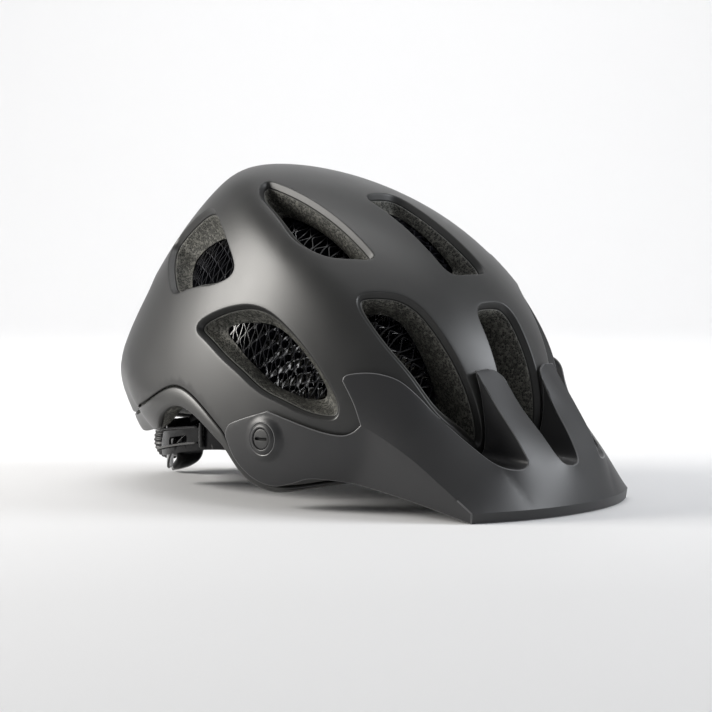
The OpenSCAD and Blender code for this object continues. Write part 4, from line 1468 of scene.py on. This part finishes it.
def ribbon(paths, side, name, node):
    """Woven webbing of rounded section, with its own UVs in millimetres."""
    verts, faces, uvs = [], [], []
    a = np.arange(16) * 2 * np.pi / 16
    c, s = np.cos(a), np.sin(a)
    cross = (np.sign(c) * np.abs(c) ** 0.3 * WEB_W / 2, np.sign(s) * np.abs(s) ** 0.75 * WEB_T / 2)
    for path, count in paths:
        mid = chart_path(path[:count], 14 * (count - 1))
        run = np.gradient(mid, axis=0)
        wide = np.cross(run, mid - CORE)
        wide /= np.linalg.norm(wide, axis=1)[:, None]
        flat = np.cross(wide, run)
        flat /= np.linalg.norm(flat, axis=1)[:, None]
        length = np.concatenate([[0], np.cumsum(np.linalg.norm(np.diff(mid, axis=0), axis=1))])
        start = len(verts)
        for m, w, f, at in zip(mid, wide, flat, length):
            for x, y in zip(*cross):
                verts.append(((m + x * w + y * f) * [side, 1, 1] + FRAME_SHIFT) * MM)
                uvs.append((at, x))
        n = len(a)
        for i in range(len(mid) - 1):
            for j in range(n):
                k = (j + 1) % n
                faces.append([start + i * n + j, start + i * n + k, start + (i + 1) * n + k, start
                              + (i + 1) * n + j])
        faces.append(list(range(start, start + n))[::-1])
        faces.append(list(range(start + (len(mid) - 1) * n, start + len(mid) * n)))
    mesh = bpy.data.meshes.new(name)
    mesh.from_pydata([v.tolist() for v in verts], [], faces)
    mesh.materials.append(M_WEB)
    layer = mesh.uv_layers.new(name="UVMap")
    for loop in mesh.loops:
        layer.data[loop.index].uv = uvs[loop.vertex_index]
    mesh.polygons.foreach_set("use_smooth", [True] * len(faces))
    obj = bpy.data.objects.new(name, mesh)
    bpy.context.scene.collection.objects.link(obj)
    bm = bmesh.new()
    bm.from_mesh(mesh)
    bmesh.ops.recalc_face_normals(bm, faces=bm.faces)
    bm.to_mesh(mesh)
    bm.free()
    finish_piece(obj, "root", "webbing", node)


def build_straps():
    for side, name in ((1, "left"), (-1, "right")):
        ribbon([(FRONT_LEG, 4), (REAR_LEG, 4), (CROWN_LEG, 4 if side > 0 else 3)], side, "webbing_" + name,
               "strap_" + name)
    b = Builder()
    for side in (1, -1):
        for uv in ANCHORS:
            p = inner(np.array([uv], float), 11.5)[0]
            lathe(b, p * [side, 1, 1], (p - CORE) * [side, 1, 1],
                  [(-3.3, 0), (-3.2, 1.1), (-2.6, 2.4), (-1.0, 3.3), (0.6, 3.4), (1.0, 2.9), (1.3, 2.2),
                   (2.9, 1.9), (3.3, 1.2), (3.4, 0)], 32)
    finish_piece(b.build("anchor_plugs", [M_PIN], 40), "root", "pin", "strap_anchors")

    b = Builder()
    c = inner(np.array([[45.0, -21.0]]), -11.2)[0]
    h = math.sqrt(0.5)
    outline = rounded_rect(13.8, 23.8, 3, 6)
    holes = [rounded_rect(2.4, 17.5, 1.1, 4, (x, 0)) for x in (-4, 0, 4)]
    for side in (1, -1):
        space = flat_space(c * [side, 1, 1], (side * h, 0, -h), (0, 1, 0), (side * h, 0, h))
        plate(b, evened(outline, 1.0), holes, (-1.1, 1.1), space, 1.2)
    finish_piece(rounded(b.build("dividers", [M_BUCKLE], 35), 0.5, 3), "root", "buckle", "strap_dividers")

    leg = [np.array(inner(np.array([q[:2]], float), q[2])[0]) for q in (CROWN_LEG[1], CROWN_LEG[0])]
    mid, run = (leg[0] + leg[1]) / 2, unit_vector(leg[1] - leg[0])
    wide = unit_vector(np.cross(mid - CORE, run))
    b = Builder()
    plate(b, evened(rounded_rect(20, 5.2, 2.2, 6), 0.8), [evened(rounded_rect(17, 3.4, 1.5, 5), 0.8)],
          (-2.5, 2.5), flat_space(mid, wide, np.cross(run, wide), run), 0.8)
    finish_piece(rounded(b.build("keeper", [M_BUCKLE], 35), 0.3, 2), "root", "buckle", "strap_keeper")


def build_buckle():
    origin = BUCKLE_AT

    def section(w, h, r, x, z=-1.0):
        yz = evened(rounded_rect(w, h, r, 6), 1.0)
        return origin + np.column_stack([np.full(len(yz), x), yz[:, 0], yz[:, 1] + z])

    b = Builder()
    stations = [(-17, 19.4, 7.4, 2.2), (-16.5, 20, 8, 2.4), (-6, 20, 8, 2.4), (4, 19.2, 7.6, 2.4),
                (10, 18.2, 6.4, 2.2), (12.4, 17.8, 5.4, 2.0), (13, 16.8, 4.4, 1.8)]
    ring = evened(rounded_rect(19.4, 7.4, 2.2, 6), 1.0)
    n = len(ring)
    rows = []
    for x, w, h, r in stations:
        yz = rounded_rect(w, h, r, 12)
        p = np.vstack([yz, yz[:1]])
        s = np.concatenate([[0], np.cumsum(np.linalg.norm(np.diff(p, axis=0), axis=1))])
        at = np.linspace(0, s[-1], n, endpoint=False)
        yz = np.stack([np.interp(at, s, p[:, k]) for k in range(2)], -1)
        rows.append(origin + np.column_stack([np.full(n, x), yz[:, 0], yz[:, 1] - 1]))
    ids = b.grid(rows, closed=True)
    b.face([ids[-1]])
    mouth = evened(rounded_rect(14.1, 4.1, 0.9, 5), 0.9)
    first = rows[0][:, 1:] - origin[1:] + [0, 1]
    uv, tris, _ = fill(first, [mouth], 1.2)
    face = b.add(origin + np.column_stack([np.full(len(uv), -17.0), uv[:, 0], uv[:, 1] - 1]))
    b.face(face[tris])
    walls = b.grid([origin + np.column_stack([np.full(len(mouth), x), mouth[:, 0], mouth[:, 1] - 1])
                    for x in (-17.0, -14, -6, 2.4)], closed=True)
    b.face([walls[-1]])
    for y in (-4.5, 0, 4.5):
        tube(b, origin + [[x, y, 2.92] for x in np.linspace(-11, 3, 12)],
             0.45 * np.sin(np.linspace(0.35, 2.8, 12)), 8)
    finish_piece(rounded(b.build("buckle_shell", [M_BUCKLE], 40), 0.3, 2, 50), "root", "buckle",
                 "buckle_body")

    b = Builder()
    ids = b.grid([section(13.0, 3.0, 0.7, 1.95)] + [section(13.8, 3.8, 0.9, x) for x in (1.4, -8, -17.1)],
                 closed=True)
    b.face([ids[0], ids[-1]])
    rows = [section(17.0, 5.0, 1.6, -17.3), section(18, 6, 2, -17.7), section(18, 6, 2, -19.2),
            section(17.4, 5.4, 1.8, -20.5), section(16.0, 4.2, 1.5, -21)]
    least = min(len(r) for r in rows)
    rows = [r[np.linspace(0, len(r) - 1, least).round().astype(int)] for r in rows]
    ids = b.grid(rows, closed=True)
    b.face([ids[0], ids[-1]])
    finish_piece(rounded(b.build("latch", [M_BUCKLE], 40), 0.25, 2, 50), "buckle_latch", "buckle",
                 "buckle_latch")


for side, name in ((-1, "right"), (1, "left")):
    build_pivot(side, name)
    build_arm(side, name)
build_cradle()
build_rail()
for pad_name, pad_node, patches in PAD_SETS:
    build_pads(pad_name, pad_node, patches)
build_straps()
build_buckle()

# ---------------------------------------------------------------- stage, light and camera


def build_stage():
    """A plain pale floor that curves up into a backdrop."""
    far, radius, height = 1.6, 1.2, 3.2
    path = [(-3.0, 0.0)] + [(x, 0.0) for x in np.linspace(-2.5, far, 12)]
    path += [(far + radius * math.sin(a), radius * (1 - math.cos(a)))
             for a in np.radians(np.linspace(6, 90, 15))]
    path += [(far + radius, h) for h in np.linspace(radius, height, 6)[1:]]
    back = np.array([0.7653, 0.6399])
    across = np.array([-back[1], back[0]])
    b = Builder()
    rows = [[list((back * x + across * w) / MM - FRAME_SHIFT[:2]) + [z / MM] for w in np.linspace(-4, 4, 9)]
            for x, z in path]
    b.grid([np.array(r) for r in rows])
    m = material("floor_paper", (0.72, 0.72, 0.725), 0.75, 0.2)
    g = Graph(m)
    g.bump(g.noise(40, 2), 0.02, 0.1)
    obj = b.build("floor", [m])


def area_light(name, place, target, size, power, color=(1, 1, 1)):
    light = bpy.data.lights.new(name, "AREA")
    light.shape = "RECTANGLE"
    light.size, light.size_y = size
    light.energy = power
    light.color = color
    obj = bpy.data.objects.new(name, light)
    bpy.context.scene.collection.objects.link(obj)
    obj.location = place
    obj.rotation_euler = (Vector(target) - Vector(place)).to_track_quat("-Z", "Y").to_euler()


def build_light():
    world = bpy.data.worlds.new("studio")
    bpy.context.scene.world = world
    world.use_nodes = True
    world.node_tree.nodes["Background"].inputs["Color"].default_value = (0.93, 0.94, 0.96, 1)
    world.node_tree.nodes["Background"].inputs["Strength"].default_value = 0.3
    bpy.context.scene.view_settings.view_transform = "Standard"
    area_light("key", (-1.15, 1.35, 0.8), (0, 0.05, 0.08), (0.8, 0.7), 42, (1, 0.975, 0.93))
    area_light("front", (1.0, -1.45, 0.95), (0, -0.1, 0.08), (0.8, 0.7), 22, (0.93, 0.96, 1))
    area_light("top", (0.1, 0.0, 1.9), (0, 0, 0), (1.5, 1.5), 7)
    area_light("backdrop", (0.5, 0.3, 1.9), (2.4, 2.0, 0.6), (1.6, 1.0), 42)


def build_camera():
    camera = bpy.data.cameras.new("camera")
    camera.sensor_width = 36
    camera.lens = 126.1
    camera.clip_start = 0.05
    obj = bpy.data.objects.new("camera", camera)
    bpy.context.scene.collection.objects.link(obj)
    obj.location = (-1.1480, -0.9610, 0.1859)
    aim = Vector((0, -0.0012, 0.0813)) - obj.location
    obj.rotation_euler = aim.to_track_quat("-Z", "Y").to_euler()
    bpy.context.scene.camera = obj


build_stage()
build_light()
build_camera()
